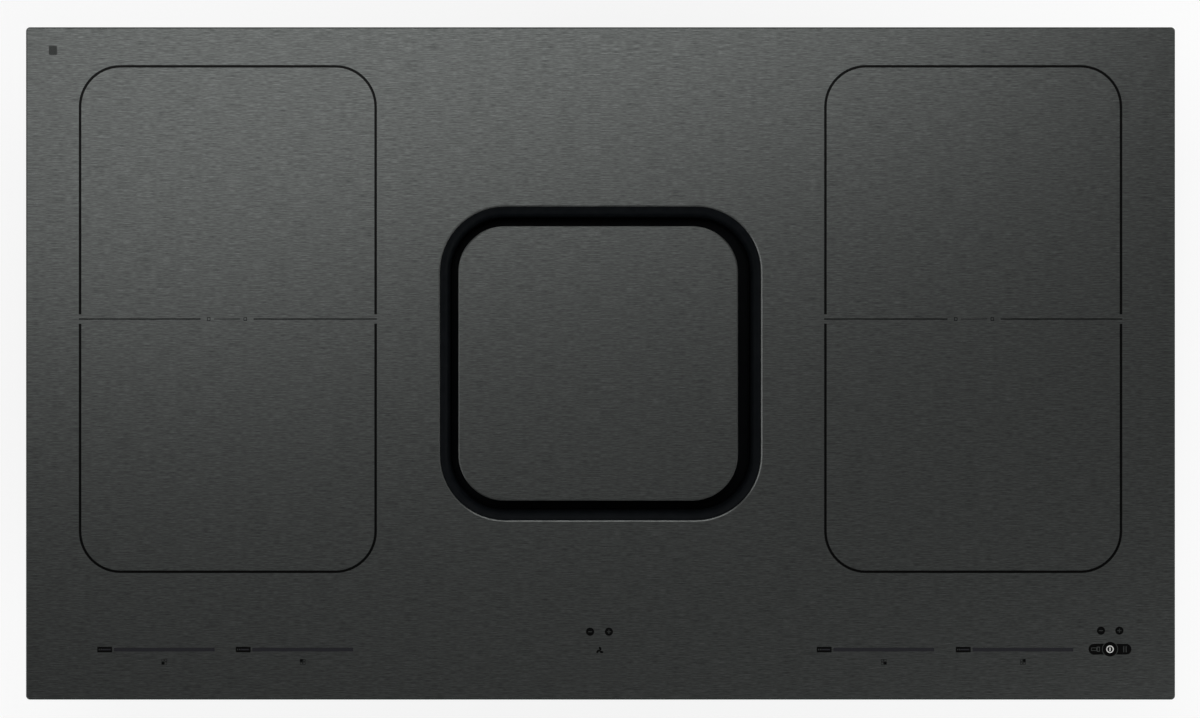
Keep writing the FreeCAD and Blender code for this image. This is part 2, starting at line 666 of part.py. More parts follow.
def motor_bearings():
    """Two ball bearings, each with the groove between its rings."""
    outer, width = BEARING
    rings = []
    for z in BEARING_Z:
        ring = tube(FAN_X, FAN_Y, outer, SHAFT_RADIUS + 0.03, z, z + width)
        groove = tube(FAN_X, FAN_Y, outer - 1.0, SHAFT_RADIUS + 1.2, z + width - 0.5, z + width + PAST)
        rings.append(ring.cut(groove))
    return Part.makeCompound(rings)


def motor_stator():
    """Laminated core with twelve wound teeth."""
    low, high = 15.0, 36.0
    tooth_low, tooth_high = low + 3.0, high - 3.0
    core_outer, core_inner, shoe_outer, shoe_inner = 18.0, 11.0, 34.0, 31.0
    core = tube(FAN_X, FAN_Y, core_outer, core_inner, low, high)
    tooth = box(FAN_X + core_outer - 1.0, FAN_X + shoe_inner + 1.0, FAN_Y - 1.6, FAN_Y + 1.6,
                tooth_low, tooth_high)
    winding = box(FAN_X + 19.5, FAN_X + 28.0, FAN_Y - 3.6, FAN_Y + 3.6, low, high)
    shoe = tube(FAN_X, FAN_Y, shoe_outer, shoe_inner, tooth_low, tooth_high)
    shoe = shoe.common(box(FAN_X + core_outer, FAN_X + CUP_RADIUS, FAN_Y - 7.0, FAN_Y + 7.0, low, high))
    return fuse([core, *ring_of(tooth, 12), *ring_of(winding, 12), *ring_of(shoe, 12)])


def rotor_cup():
    """Outer rotor of the motor: a steel cup with its magnet ring, a hub and six vents."""
    low = MOTOR_FOOT + MOTOR_PLATE + 1.5
    wall, roof, hub_height = 4.5, 2.0, 3.0
    cup = rod(FAN_X, FAN_Y, CUP_RADIUS, low, CUP_TOP)
    cup = cup.cut(rod(FAN_X, FAN_Y, CUP_RADIUS - wall, low, CUP_TOP - roof))
    hub = rod(FAN_X, FAN_Y, 9.0, CUP_TOP - hub_height, CUP_TOP)
    vent = rod(FAN_X + 22.0, FAN_Y, 4.0, CUP_TOP - hub_height - PAST, CUP_TOP + PAST)
    bore = rod(FAN_X, FAN_Y, SHAFT_RADIUS, low, CUP_TOP + PAST)
    return cut(fuse([cup, hub]), [bore, *ring_of(vent, 6)])


def motor_shaft():
    low, high = BEARING_Z[0] + LIFT_GAP, CUP_TOP + 8.0
    shaft = rod(FAN_X, FAN_Y, SHAFT_RADIUS, low, high)
    return shaft.makeChamfer(0.6, edges_at(shaft, high))


def impeller():
    """Forward-curved fan wheel: a back plate over the motor, thirty-two blades and a top ring."""
    low, plate_top, blade_top, ring_top = 20.0, 22.0, 80.0, 82.5
    blade_count = 32
    blade_inner = 73.5
    dome_inner, dome_wall = CUP_RADIUS + 1.0, 2.5
    dome_top = CUP_TOP + 3.5
    overlap = 0.5
    plate = tube(FAN_X, FAN_Y, WHEEL_RADIUS, dome_inner, low, plate_top)
    dome = rod(FAN_X, FAN_Y, dome_inner + dome_wall, low, dome_top)
    dome = dome.cut(rod(FAN_X, FAN_Y, dome_inner, low, dome_top - dome_wall))
    dome = dome.makeFillet(2.0, edges_at(dome, dome_top))
    boss = rod(FAN_X, FAN_Y, 9.0, CUP_TOP, CUP_TOP + 6.0)
    ring = tube(FAN_X, FAN_Y, WHEEL_RADIUS, blade_inner, blade_top - overlap, ring_top)
    blade = fan_blade(blade_inner + overlap, WHEEL_RADIUS - overlap, plate_top - overlap, blade_top)
    whole = fuse([plate, dome, boss, ring, *ring_of(blade, blade_count)])
    return whole.cut(rod(FAN_X, FAN_Y, SHAFT_RADIUS, low, ring_top))


def fan_blade(inner, outer, z0, z1):
    """One blade, an arc in plan that leans into the turn towards its outer edge."""
    thickness = 1.4
    belly, tip = -1.2, 3.5             # degrees round the axis at mid width and at the outer edge
    middle = (inner + outer) / 2
    axis = vector(FAN_X, FAN_Y, z0)
    lean = math.degrees(thickness / inner)
    front = [at_angle(axis, inner, 0), at_angle(axis, middle, belly), at_angle(axis, outer, tip)]
    back = [at_angle(axis, outer, tip + lean), at_angle(axis, middle, belly + lean),
            at_angle(axis, inner, lean)]
    edges = [Part.Arc(*front).toShape(), Part.LineSegment(front[2], back[0]).toShape(),
             Part.Arc(*back).toShape(), Part.LineSegment(back[2], front[0]).toShape()]
    return Part.Face(Part.Wire(edges)).extrude(vector(0, 0, z1 - z0))


# ---------------------------------------------------------------- steel trays and channels

def leg_points(side):
    inset_x = 16.0
    return [(side * x, y) for x in (TRAY_INNER + inset_x, TRAY_OUTER - inset_x) for y in TRAY_LEG_Y]


def tray_openings(side):
    """Holes of a tray: blower slots, side vents, screw holes, cable holes and the mains passage."""
    low, high = TRAY_FLOOR - 3.0, FLOOR_TOP + PAST
    tools = []
    for row in range(-4, 5):
        for column in SIDES:
            tools.append(slot(side * BLOWER[0] + column * 19.0, BLOWER[1] + row * 8.0, 16.0, 2.0, low, high))
    vent_low, vent_high = TRAY_FLOOR + 8.0, TRAY_FLOOR + 30.0
    for row in range(12):
        tools.append(block(side * TRAY_OUTER, -78.0 + row * 12.0, 3.0, 2.0, vent_low, vent_high))
    for x, y in leg_points(side):
        tools.append(rod(x, y, CHASSIS_SCREW, low, high))
    for y in (-190.0, 190.0):
        tools.append(rod_right(side * TRAY_INNER - 5.0, y, 172.0, 7.0, 10.0))
    if side < 0:
        tools.append(slab((16.0, 8.0, 3.0), low, high, TERMINAL))
    return tools


def steel_tray(side):
    """Folded steel tray under one pair of cooking zones, open at the top and closed by the glass."""
    middle = side * (TRAY_INNER + TRAY_OUTER) / 2
    outline = ((TRAY_OUTER - TRAY_INNER) / 2, TRAY_HALF_DEPTH, 3.0)
    hollow = inset(outline, SHEET)
    shell = slab(outline, TRAY_FLOOR, GLASS_BOTTOM, (middle, 0))
    shell = shell.cut(slab(hollow, FLOOR_TOP, GLASS_BOTTOM, (middle, 0)))
    flange = box(side * (TRAY_INNER + 4.0), side * (TRAY_OUTER + 14.0), -TRAY_HALF_DEPTH - HEM,
                 TRAY_HALF_DEPTH + HEM, GLASS_BOTTOM - SHEET, GLASS_BOTTOM)
    flange = flange.cut(slab(hollow, GLASS_BOTTOM - SHEET - PAST, GLASS_BOTTOM + PAST, (middle, 0)))
    beads = []
    for y in (-195.0, 95.0):
        beads.append(slot(middle, y, 90.0, 5.0, TRAY_FLOOR - 1.5, TRAY_FLOOR + SINK))
    return cut(fuse([shell, flange, *beads]), tray_openings(side))


def cross_channel(side):
    """Folded steel channel between the trays, in front of or behind the fan."""
    x, far = TRAY_INNER, TRAY_HALF_DEPTH
    outer = box(-x, x, side * CHANNEL_NEAR, side * far, CHANNEL_FLOOR, GLASS_BOTTOM)
    inner = box(-x, x, side * (CHANNEL_NEAR + SHEET), side * (far - SHEET),
                CHANNEL_FLOOR + SHEET, GLASS_BOTTOM)
    flange = box(-x, x, side * far, side * (far + HEM), GLASS_BOTTOM - SHEET, GLASS_BOTTOM)
    whole = fuse([outer.cut(inner), flange])
    low, high = CHANNEL_FLOOR - PAST, CHANNEL_FLOOR + SHEET + PAST
    tools = []
    for point_x, point_y in ear_points():
        if point_y * side > 0:
            tools.append(rod(point_x, point_y, CHASSIS_SCREW, low, high))
    for step in range(-4, 5):
        for y in (200.0, 212.0):
            tools.append(slot(step * 26.0, side * y, 9.0, 2.0, low, high))
    return cut(whole, tools)


def chassis_screws():
    """Screws of the coil plates' legs and of the chamber's ears."""
    screws = []
    for side in SIDES:
        for x, y in leg_points(side):
            screws.append(screw_from_below(x, y, TRAY_FLOOR, 7.0))
    for x, y in ear_points():
        screws.append(screw_from_below(x, y, CHANNEL_FLOOR - 3.0, 9.0))
    return Part.makeCompound(screws)


# ---------------------------------------------------------------- coils

def coil_centres(side):
    return [(side * ZONE_X, ZONE_Y - COIL_PITCH / 2), (side * ZONE_X, ZONE_Y + COIL_PITCH / 2)]


def coil_plate(side):
    """Aluminium sheet that carries two coils, with bent legs that stand on the tray's floor."""
    thickness = COIL_PLATE_THICKNESS
    inner, outer = TRAY_INNER + 6.0, TRAY_OUTER - 6.0
    half_leg, toe = 9.0, 6.0
    parts = [box(side * inner, side * outer, -165.0, 230.0, COIL_PLATE, COIL_PLATE + thickness)]
    for x, y in leg_points(side):
        edge = side * (inner if abs(x) < ZONE_X else outer)
        inward = 1 if x > edge else -1
        parts.append(box(edge, edge + inward * thickness, y - half_leg, y + half_leg, FLOOR_TOP, COIL_PLATE))
        parts.append(box(edge, x + inward * toe, y - half_leg, y + half_leg,
                         FLOOR_TOP, FLOOR_TOP + thickness))
    holes = []
    for x, y in leg_points(side):
        holes.append(rod(x, y, CHASSIS_SCREW, FLOOR_TOP - PAST, FLOOR_TOP + thickness + PAST))
    for x, y in coil_centres(side):
        holes.append(rod(x, y, COIL_SENSOR_HOLE, COIL_PLATE - PAST, COIL_PLATE + thickness + PAST))
    return cut(fuse(parts), holes)


def ferrite_bars():
    """Eight flat ferrite bars under each coil, like the spokes of a wheel."""
    bars = []
    for x, y in coil_centres(-1) + coil_centres(1):
        bar = box(x + 24.0, x + 82.0, y - 6.0, y + 6.0, FORMER_Z - FERRITE, FORMER_Z)
        bars += ring_of(bar, 8, x, y)
    return Part.makeCompound(bars)


def coil_formers():
    """Plastic plate under each winding, with a rim and a hub for the temperature sensor."""
    outline = inset(COIL, -2.0)
    hub_top = WINDING_Z + 5.0
    formers = []
    for centre in coil_centres(-1) + coil_centres(1):
        plate = slab(outline, FORMER_Z, WINDING_Z, centre)
        hub = rod(*centre, 16.0, FORMER_Z, hub_top)
        rim = frame(outline, inset(COIL, -0.3), WINDING_Z, WINDING_Z + 3.0, centre)
        hole = rod(*centre, 8.0, FORMER_Z - PAST, hub_top + PAST)
        formers.append(fuse([plate, hub, rim]).cut(hole))
    return Part.makeCompound(formers)


def coil_winding(centre):
    """Flat litz winding, with a shallow groove between each turn and the next."""
    turns, pitch = 12, 5.6
    groove, half_groove = 1.5, 0.5
    high = WINDING_Z + WINDING
    body = frame(COIL, inset(COIL, turns * pitch), WINDING_Z, high, centre)
    grooves = []
    for turn in range(1, turns):
        middle = inset(COIL, turn * pitch)
        grooves.append(frame(inset(middle, -half_groove), inset(middle, half_groove),
                             high - groove, high, centre))
    return cut(body, grooves)


def coil_sensors():
    """Temperature probe in the middle of each coil, pressed to the glass."""
    shoulder = FORMER_Z + 10.0
    probes = []
    for x, y in coil_centres(-1) + coil_centres(1):
        probes.append(fuse([rod(x, y, 7.8, FORMER_Z, shoulder), rod(x, y, 5.0, shoulder, GLASS_BOTTOM)]))
    return Part.makeCompound(probes)


def insulation_sheets():
    """Heat-resistant sheet between each pair of coils and the glass."""
    low = WINDING_Z + WINDING + 0.5
    high = low + 0.8
    sheets = []
    for side in SIDES:
        outline = (COIL[0] + 8.0, COIL_PITCH / 2 + COIL[1] + 4.0, 12.0)
        sheet = slab(outline, low, high, (side * ZONE_X, ZONE_Y))
        holes = [rod(x, y, 8.5, low - PAST, high + PAST) for x, y in coil_centres(side)]
        sheets.append(cut(sheet, holes))
    return Part.makeCompound(sheets)


# ---------------------------------------------------------------- electronics

BOARD_Z = FLOOR_TOP + 6.0
BOARD_TOP = BOARD_Z + 1.6


def power_board(side):
    """Power circuit board with its capacitors, chokes and relays, on four pillars."""
    parts = [box(side * 178.0, side * 392.0, -60.0, 205.0, BOARD_Z, BOARD_TOP)]
    for x in (186.0, 384.0):
        for y in (-52.0, 197.0):
            parts.append(rod(side * x, y, 4.0, FLOOR_TOP, BOARD_Z + SINK))
    foot = BOARD_TOP - SINK
    for y in (-30.0, 0.0, 30.0):
        parts.append(rod(side * 205.0, y, 11.0, foot, BOARD_TOP + 28.0))
    for y in (80.0, 125.0, 170.0):
        parts.append(tube(side * 215.0, y, 17.0, 8.0, foot, BOARD_TOP + 14.0))
    for y in (-30.0, 0.0, 30.0, 60.0):
        parts.append(block(side * 260.0, y, 15.0, 10.0, foot, BOARD_TOP + 18.0))
    for y in (101.0, 135.0, 169.0):
        parts.append(block(side * 265.0, y, 15.0, 11.0, foot, BOARD_TOP + 16.0))
    return fuse(parts)


def heat_sink(side):
    """Finned aluminium extrusion on the power board, in the blower's stream."""
    front, back = -50.0, 180.0
    base_top = BOARD_TOP + 4.0
    fin_pitch, fin, fin_top = 6.2, 1.6, BOARD_TOP + 26.0
    fins = []
    for index in range(12):
        x = 311.0 + index * fin_pitch
        fins.append(box(side * x, side * (x + fin), front, back, base_top - SINK, fin_top))
    return fuse([box(side * 310.0, side * 382.0, front, back, BOARD_TOP, base_top), *fins])


def blower_housing(side):
    """Snail-shaped casing of an electronics blower, with its inlet in the floor."""
    x, y = side * BLOWER[0], BLOWER[1]
    low, high = FLOOR_TOP, FLOOR_TOP + BLOWER_HEIGHT
    wall, drum, mouth_left, mouth_length = 2.0, 46.0, 40.0, 58.0
    inner_low, inner_high = low + wall, high - wall
    whole = fuse([rod(x, y, drum, low, high), box(x - mouth_left, x + drum, y, y + mouth_length, low, high)])
    hollow = fuse([rod(x, y, drum - wall, inner_low, inner_high),
                   box(x - mouth_left + wall, x + drum - wall, y, y + mouth_length + wall,
                       inner_low, inner_high)])
    return cut(whole, [hollow, rod(x, y, 30.0, low - PAST, inner_low + PAST)])


def blower_rotor(side):
    """Small radial wheel of an electronics blower."""
    x, y = side * BLOWER[0], BLOWER[1]
    low, high = FLOOR_TOP + 4.0, FLOOR_TOP + 28.0
    plate = 2.0
    hub = rod(x, y, 17.0, low + 3.0, high)
    disc = rod(x, y, 38.0, high - plate, high)
    blade = box(x + 24.0, x + 37.5, y - 0.7, y + 0.7, low, high - plate + SINK)
    return fuse([hub, disc, *ring_of(blade, 20, x, y)])


TOUCH_SPANS = ((-396.0, -166.0, FLOOR_TOP), (-34.0, 34.0, CHANNEL_FLOOR + SHEET), (160.0, 408.0, FLOOR_TOP))


def touch_boards():
    """Three touch-control boards on pillars, with foam sensor pads pressed up to the glass."""
    half_board, pad_pitch = 13.0, 24
    low, high = GLASS_BOTTOM - 5.0, GLASS_BOTTOM - 3.4
    boards = []
    for left, right, floor in TOUCH_SPANS:
        parts = [box(left, right, TOUCH_Y - half_board, TOUCH_Y + half_board, low, high)]
        for x in (left + 5.0, right - 5.0):
            parts.append(rod(x, TOUCH_Y, 3.5, floor, low + SINK))
        count = max(2, int((right - left) // pad_pitch))
        for index in range(count):
            x = left + (index + 0.5) * (right - left) / count
            parts.append(rod(x, TOUCH_Y + 2.0, 4.5, high - SINK, GLASS_BOTTOM))
        boards.append(fuse(parts))
    return Part.makeCompound(boards)


# ---------------------------------------------------------------- mains connection

TERMINAL_LEFT = TERMINAL[0] - TERMINAL_HALF_X
TERMINAL_RIGHT = TERMINAL[0] + TERMINAL_HALF_X


def terminal_box():
    """Connection box closed above by the left tray, with the cable inlet and the lid's hinge pin."""
    left, right, wall = TERMINAL_LEFT, TERMINAL_RIGHT, 2.0
    gland_wall, gland_length, ear = 4.0, 12.0, 6.0
    shell = box(left, right, TERMINAL_FRONT, TERMINAL_BACK, TERMINAL_RIM, TRAY_FLOOR)
    shell = shell.cut(box(left + wall, right - wall, TERMINAL_FRONT + wall, TERMINAL_BACK - wall,
                          TERMINAL_RIM, TRAY_FLOOR))
    gland = rod_back(CABLE_X, TERMINAL_BACK - wall, CABLE_Z, CABLE_RADIUS + gland_wall, gland_length)
    ears = []
    for x in (left, right - ear):
        ears.append(box(x, x + ear, HINGE_Y - 4.0, TERMINAL_FRONT + 0.5, HINGE_Z - 3.5, TERMINAL_RIM + ear))
    pin = rod_right(left, HINGE_Y, HINGE_Z, HINGE_PIN, right - left)
    bore = rod_back(CABLE_X, TERMINAL_BACK - 6.0, CABLE_Z, CABLE_RADIUS, 20.0)
    return fuse([shell, gland, *ears, pin]).cut(bore)


def terminal_lid():
    """Snap-shut lid of the connection box, with a knuckle along the hinge pin."""
    low, high = TERMINAL_RIM - LIFT_GAP - 2.0, TERMINAL_RIM - LIFT_GAP
    left, right = TERMINAL_LEFT + 8.0, TERMINAL_RIGHT - 8.0
    half_tongue, rib_depth = 6.0, 1.2
    plate = box(TERMINAL_LEFT, TERMINAL_RIGHT, HINGE_Y + 9.0, TERMINAL_BACK, low, high)
    web = box(left, right, HINGE_Y, HINGE_Y + 9.5, low, high)
    knuckle = rod_right(left, HINGE_Y, HINGE_Z, 3.0, right - left)
    tongue = box(TERMINAL[0] - half_tongue, TERMINAL[0] + half_tongue, TERMINAL_BACK - 0.5,
                 TERMINAL_BACK + 4.0, low, high)
    ribs = []
    for step in (-24.0, 0.0, 24.0):
        x = TERMINAL[0] + step
        ribs.append(box(x - 1.0, x + 1.0, HINGE_Y + 14.0, TERMINAL_BACK - 5.0, low - rib_depth, low + SINK))
    bore = rod_right(TERMINAL_LEFT - PAST, HINGE_Y, HINGE_Z, HINGE_PIN + FIT, 2 * TERMINAL_HALF_X + 2 * PAST)
    return fuse([plate, web, knuckle, tongue, *ribs]).cut(bore)


def terminal_block():
    """Five-pole screw terminal inside the connection box."""
    high = TRAY_FLOOR
    low = high - 16.0
    front, back = TERMINAL_FRONT + 3.0, TERMINAL_FRONT + 17.0
    pole_pitch = 14.0
    block_shape = box(TERMINAL[0] - 35.0, TERMINAL[0] + 35.0, front, back, low, high)
    tools = []
    for pole in range(-2, 3):
        x = TERMINAL[0] + pole * pole_pitch
        tools.append(rod(x, front + 5.0, 3.0, low - PAST, low + 5.0))
        tools.append(rod_back(x, back - 6.0, low + 8.0, 2.6, 8.0))
    return cut(block_shape, tools)


def cable_clamp():
    """Strain-relief bridge with its two screws, just inside the cable inlet."""
    y = TERMINAL_BACK - 13.0
    bar_top = CABLE_Z - CABLE_RADIUS - 0.5
    bar_low = bar_top - 3.0
    parts = [block(CABLE_X, y, 16.0, 4.0, bar_low, bar_top)]
    for side in SIDES:
        x = CABLE_X + side * 12.0
        parts.append(rod(x, y, 2.0, bar_top - 0.5, TRAY_FLOOR))
        parts.append(rod(x, y, 3.2, bar_low - 2.0, bar_low + SINK))
    return fuse(parts)


# ---------------------------------------------------------------- worktop clamps

def clamp_brackets():
    """Riveted angle on the tray's side for each clamp, with its pivot pin."""
    shelf_top = CLAMP_Z - LIFT_GAP
    shelf_low = shelf_top - 2.0
    brackets = []
    for side in SIDES:
        for y in CLAMP_Y:
            x, wall = side * CLAMP_X, side * TRAY_OUTER
            plate = box(wall, wall + side * 1.5, y - 14.0, y + 14.0, shelf_low, CLAMP_Z + 26.0)
            shelf = box(wall, wall + side * 15.0, y - 9.0, y + 9.0, shelf_low, shelf_top)
            pin = rod(x, y, PIVOT_RADIUS, shelf_top - 0.7, CLAMP_Z + 5.0)
            head = rod(x, y, 4.0, CLAMP_Z + 3.8, CLAMP_Z + 5.8)
            brackets.append(fuse([plate, shelf, pin, head]))
    return Part.makeCompound(brackets)


def clamp_arm(side, y):
    """Steel arm that swings out under the worktop, with a welded nut at its end."""
    x, end_y = side * CLAMP_X, y - CLAMP_REACH
    low, high = CLAMP_Z, CLAMP_Z + ARM_THICKNESS
    arm = fuse([box(x - ARM_HALF_WIDTH, x + ARM_HALF_WIDTH, end_y, y, low, high),
                rod(x, y, ARM_HALF_WIDTH, low, high), rod(x, y, 4.2, low, high + 1.5),
                rod(x, end_y, ARM_HALF_WIDTH, low, high), rod(x, end_y, 4.4, low, high + 4.0)])
    return cut(arm, [rod(x, y, PIVOT_RADIUS + FIT, low - PAST, high + 1.5 + PAST),
                     rod(x, end_y, JACK_RADIUS + FIT, low - PAST, high + 4.0 + PAST)])


def clamp_screw(side, y):
    """Jack screw of a clamp: turned from below, its cap rises against the worktop."""
    x, end_y = side * CLAMP_X, y - CLAMP_REACH
    tip = CLAMP_Z + ARM_THICKNESS + 4.3
    shank_low = tip - 48.0
    head_low = shank_low - 3.0
    shank = rod(x, end_y, JACK_RADIUS, shank_low, tip)
    cap = rod(x, end_y, 4.2, tip, tip + 3.0)
    head = rod(x, end_y, 4.0, head_low, shank_low)
    slot_tool = block(x, end_y, 5.0, 0.5, head_low - PAST, head_low + 1.4)
    return cut(fuse([shank, cap, head]), [slot_tool])


# ---------------------------------------------------------------- all nodes

def single_nodes():
    makers = [glass_top, worktop_seal, cover_plate, cover_carrier, intake_collar, filter_frame, filter_mesh,
              overflow_tray, inlet_chamber, chamber_gasket, scroll_base, scroll_cover, casing_screws,
              finger_guard, outlet_spigot, motor_base, motor_bushes, motor_bearings, motor_stator, rotor_cup,
              motor_shaft, impeller, chassis_screws, ferrite_bars, coil_formers, coil_sensors,
              insulation_sheets, touch_boards, terminal_box, terminal_lid, terminal_block, cable_clamp,
              clamp_brackets]
    parts = {maker.__name__: maker() for maker in makers}
    parts["front_channel"] = cross_channel(-1)
    parts["rear_channel"] = cross_channel(1)
    return parts


def side_nodes(side, name):
    parts = {
        "tray_" + name: steel_tray(side),
        "coil_plate_" + name: coil_plate(side),
        "power_board_" + name: power_board(side),
        "heat_sink_" + name: heat_sink(side),
        "blower_housing_" + name: blower_housing(side),
        "blower_rotor_" + name: blower_rotor(side),
    }
    for place, centre in zip(("front", "rear"), coil_centres(side)):
        parts["coil_winding_" + place + "_" + name] = coil_winding(centre)
    for place, y in zip(("front", "rear"), CLAMP_Y):
        parts["clamp_arm_" + place + "_" + name] = clamp_arm(side, y)
        parts["clamp_screw_" + place + "_" + name] = clamp_screw(side, y)
    return parts


def nodes():
    return {**single_nodes(), **side_nodes(-1, "left"), **side_nodes(1, "right")}


def main():
    os.makedirs("parts", exist_ok=True)
    for name, shape in sorted(nodes().items()):
        shape.exportStep("parts/" + name + ".step")
        bounds = shape.BoundBox
        print(name, len(shape.Solids), "solids", shape.isValid(), round(shape.Volume / 1000.0, 2), "cm3",
              "x %.1f %.1f" % (bounds.XMin, bounds.XMax), "y %.1f %.1f" % (bounds.YMin, bounds.YMax),
              "z %.1f %.1f" % (bounds.ZMin, bounds.ZMax))


main()
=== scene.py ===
import json
import math

import bmesh
import bpy
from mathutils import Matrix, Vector


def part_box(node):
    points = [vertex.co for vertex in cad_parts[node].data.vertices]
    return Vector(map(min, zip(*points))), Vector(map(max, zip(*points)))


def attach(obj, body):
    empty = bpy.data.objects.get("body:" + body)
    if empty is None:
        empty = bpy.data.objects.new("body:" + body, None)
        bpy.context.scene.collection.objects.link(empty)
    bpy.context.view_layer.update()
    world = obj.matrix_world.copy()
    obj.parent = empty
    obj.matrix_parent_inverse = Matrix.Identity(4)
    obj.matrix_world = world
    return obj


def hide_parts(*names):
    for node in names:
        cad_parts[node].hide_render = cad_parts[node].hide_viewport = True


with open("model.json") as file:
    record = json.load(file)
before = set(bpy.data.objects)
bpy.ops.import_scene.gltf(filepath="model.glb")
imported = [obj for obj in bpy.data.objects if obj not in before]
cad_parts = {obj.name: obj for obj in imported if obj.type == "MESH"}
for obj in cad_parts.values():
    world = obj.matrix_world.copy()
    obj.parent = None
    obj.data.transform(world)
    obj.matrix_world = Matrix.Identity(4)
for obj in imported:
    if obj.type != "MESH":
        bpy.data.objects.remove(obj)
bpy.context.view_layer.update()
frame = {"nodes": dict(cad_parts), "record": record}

# The looks of a built-in induction cooktop with a downdraft intake in the middle of its glass.
# Lengths are in metres; MM turns a size in millimetres into metres. +X is to the cook's right,
# +Y to the back and +Z up, with the floor at the level of the fan casing's feet.

MM = 0.001
nodes = frame["nodes"]

GLASS_LOW, GLASS_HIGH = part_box("glass_top")
SURFACE = GLASS_HIGH.z                    # top face of the glass
GLASS_CENTRE_Y = (GLASS_LOW.y + GLASS_HIGH.y) / 2


# ---------------------------------------------------------------- colour and node helpers

def colour(code):
    """An sRGB hex value as the linear colour that the shader works in."""
    channels = [int(code[i:i + 2], 16) / 255 for i in (1, 3, 5)]
    linear = [c / 12.92 if c <= 0.04045 else ((c + 0.055) / 1.055) ** 2.4 for c in channels]
    return (*linear, 1.0)


def connect(tree, node, inputs):
    """Set a node's inputs. Each is a plain value, another node, whose first output it takes, or a socket."""
    for name, value in inputs.items():
        if isinstance(value, bpy.types.Node):
            value = value.outputs[0]
        if isinstance(value, bpy.types.NodeSocket):
            tree.links.new(value, node.inputs[name])
        else:
            node.inputs[name].default_value = value


def add(tree, kind, inputs=None, settings=None, stops=()):
    """Add one node with its inputs and attributes; stops are (position, hex colour) of a colour ramp."""
    made = tree.nodes.new(kind)
    for name, value in (settings or {}).items():
        setattr(made, name, value)
    connect(tree, made, inputs or {})
    if stops:
        band = made.color_ramp
        while len(band.elements) < len(stops):
            band.elements.new(0.5)
        for element, (position, code) in zip(band.elements, stops):
            element.position = position
            element.color = colour(code)
    return made


def new_material(name, settings):
    """A material with one Principled shader; settings are the shader's own constant values."""
    material = bpy.data.materials.new(name)
    material.use_nodes = True
    tree = material.node_tree
    shader = tree.nodes["Principled BSDF"]
    connect(tree, shader, settings)
    return material, tree, shader


# ---------------------------------------------------------------- materials

# Patterns lie in the object's own coordinates, in metres. A noise's scale is one over the size of its
# blotches, and nearly all of its values fall in this range:

NOISE_RANGE = {"From Min": 0.3, "From Max": 0.7}


def brushed_glass_ceramic():
    # Glass ceramic with a metallic print on its face: short fine streaks from left to right, and a
    # soft grey sheen that rises where the face turns to the light. Its ground rim is bare dark glass.
    material, tree, shader = new_material("brushed_print_glass_ceramic", {"Metallic": 0.85})
    width, long_reach, short_reach = 0.45 * MM, 17 * MM, 5 * MM
    bevel_drop, bevel_width = 1.05 * MM, 0.95 * MM
    where = add(tree, "ShaderNodeTexCoord").outputs["Object"]
    drawn_out = add(tree, "ShaderNodeMapping", {"Vector": where, "Scale": (width / long_reach, 1.0, 1.0)})
    long_lines = add(tree, "ShaderNodeTexNoise",
                     {"Vector": drawn_out, "Scale": 1.0 / width, "Detail": 3.0, "Roughness": 0.6})
    drawn_out = add(tree, "ShaderNodeMapping", {"Vector": where, "Scale": (width / short_reach, 1.0, 1.0)})
    short_lines = add(tree, "ShaderNodeTexNoise", {"Vector": drawn_out, "Scale": 1.0 / width})
    long_share = add(tree, "ShaderNodeMath", {0: long_lines, 1: 0.55}, {"operation": "MULTIPLY"})
    streaks = add(tree, "ShaderNodeMath", {0: short_lines, 1: 0.45, 2: long_share},
                  {"operation": "MULTIPLY_ADD"})
    tone = add(tree, "ShaderNodeValToRGB", {"Fac": streaks},
               stops=[(0.36, "#2f3130"), (0.50, "#434544"), (0.64, "#545655")])
    place = add(tree, "ShaderNodeSeparateXYZ", {"Vector": where}).outputs
    printed = add(tree, "ShaderNodeMath", {0: place["Z"], 1: SURFACE - bevel_drop},
                  {"operation": "GREATER_THAN"})
    for axis, reach in (("X", GLASS_HIGH.x), ("Y", GLASS_HIGH.y)):
        distance = add(tree, "ShaderNodeMath", {0: place[axis]}, {"operation": "ABSOLUTE"})
        inside = add(tree, "ShaderNodeMath", {0: distance, 1: reach - bevel_width},
                     {"operation": "LESS_THAN"})
        printed = add(tree, "ShaderNodeMath", {0: printed, 1: inside}, {"operation": "MULTIPLY"})
    face = add(tree, "ShaderNodeMix", {"Factor": printed, "A": colour("#1d2220"), "B": tone},
               {"data_type": "RGBA"})
    sheen = add(tree, "ShaderNodeMapRange", {**NOISE_RANGE, "Value": streaks, "To Min": 0.30, "To Max": 0.27})
    polish = add(tree, "ShaderNodeMix", {"Factor": printed, "A": 0.12, "B": sheen}, {"data_type": "FLOAT"})
    connect(tree, shader, {"Base Color": face.outputs["Result"], "Roughness": polish.outputs["Result"]})
    return material


def black_print(name, light, dark):
    # Ceramic ink fused into the glass: dull pigment with only a trace of the glass's sheen. Its
    # speckle is finer on a real print; it is drawn half a millimetre wide so that it shows.
    material, tree, shader = new_material(name, {"Specular IOR Level": 0.06})
    where = add(tree, "ShaderNodeTexCoord").outputs["Object"]
    speckle = add(tree, "ShaderNodeTexNoise", {"Vector": where, "Scale": 1.0 / (0.5 * MM)})
    tone = add(tree, "ShaderNodeValToRGB", {"Fac": speckle}, stops=[(0.35, dark), (0.65, light)])
    polish = add(tree, "ShaderNodeMapRange",
                 {**NOISE_RANGE, "Value": speckle, "To Min": 0.28, "To Max": 0.32})
    connect(tree, shader, {"Base Color": tone, "Roughness": polish})
    return material


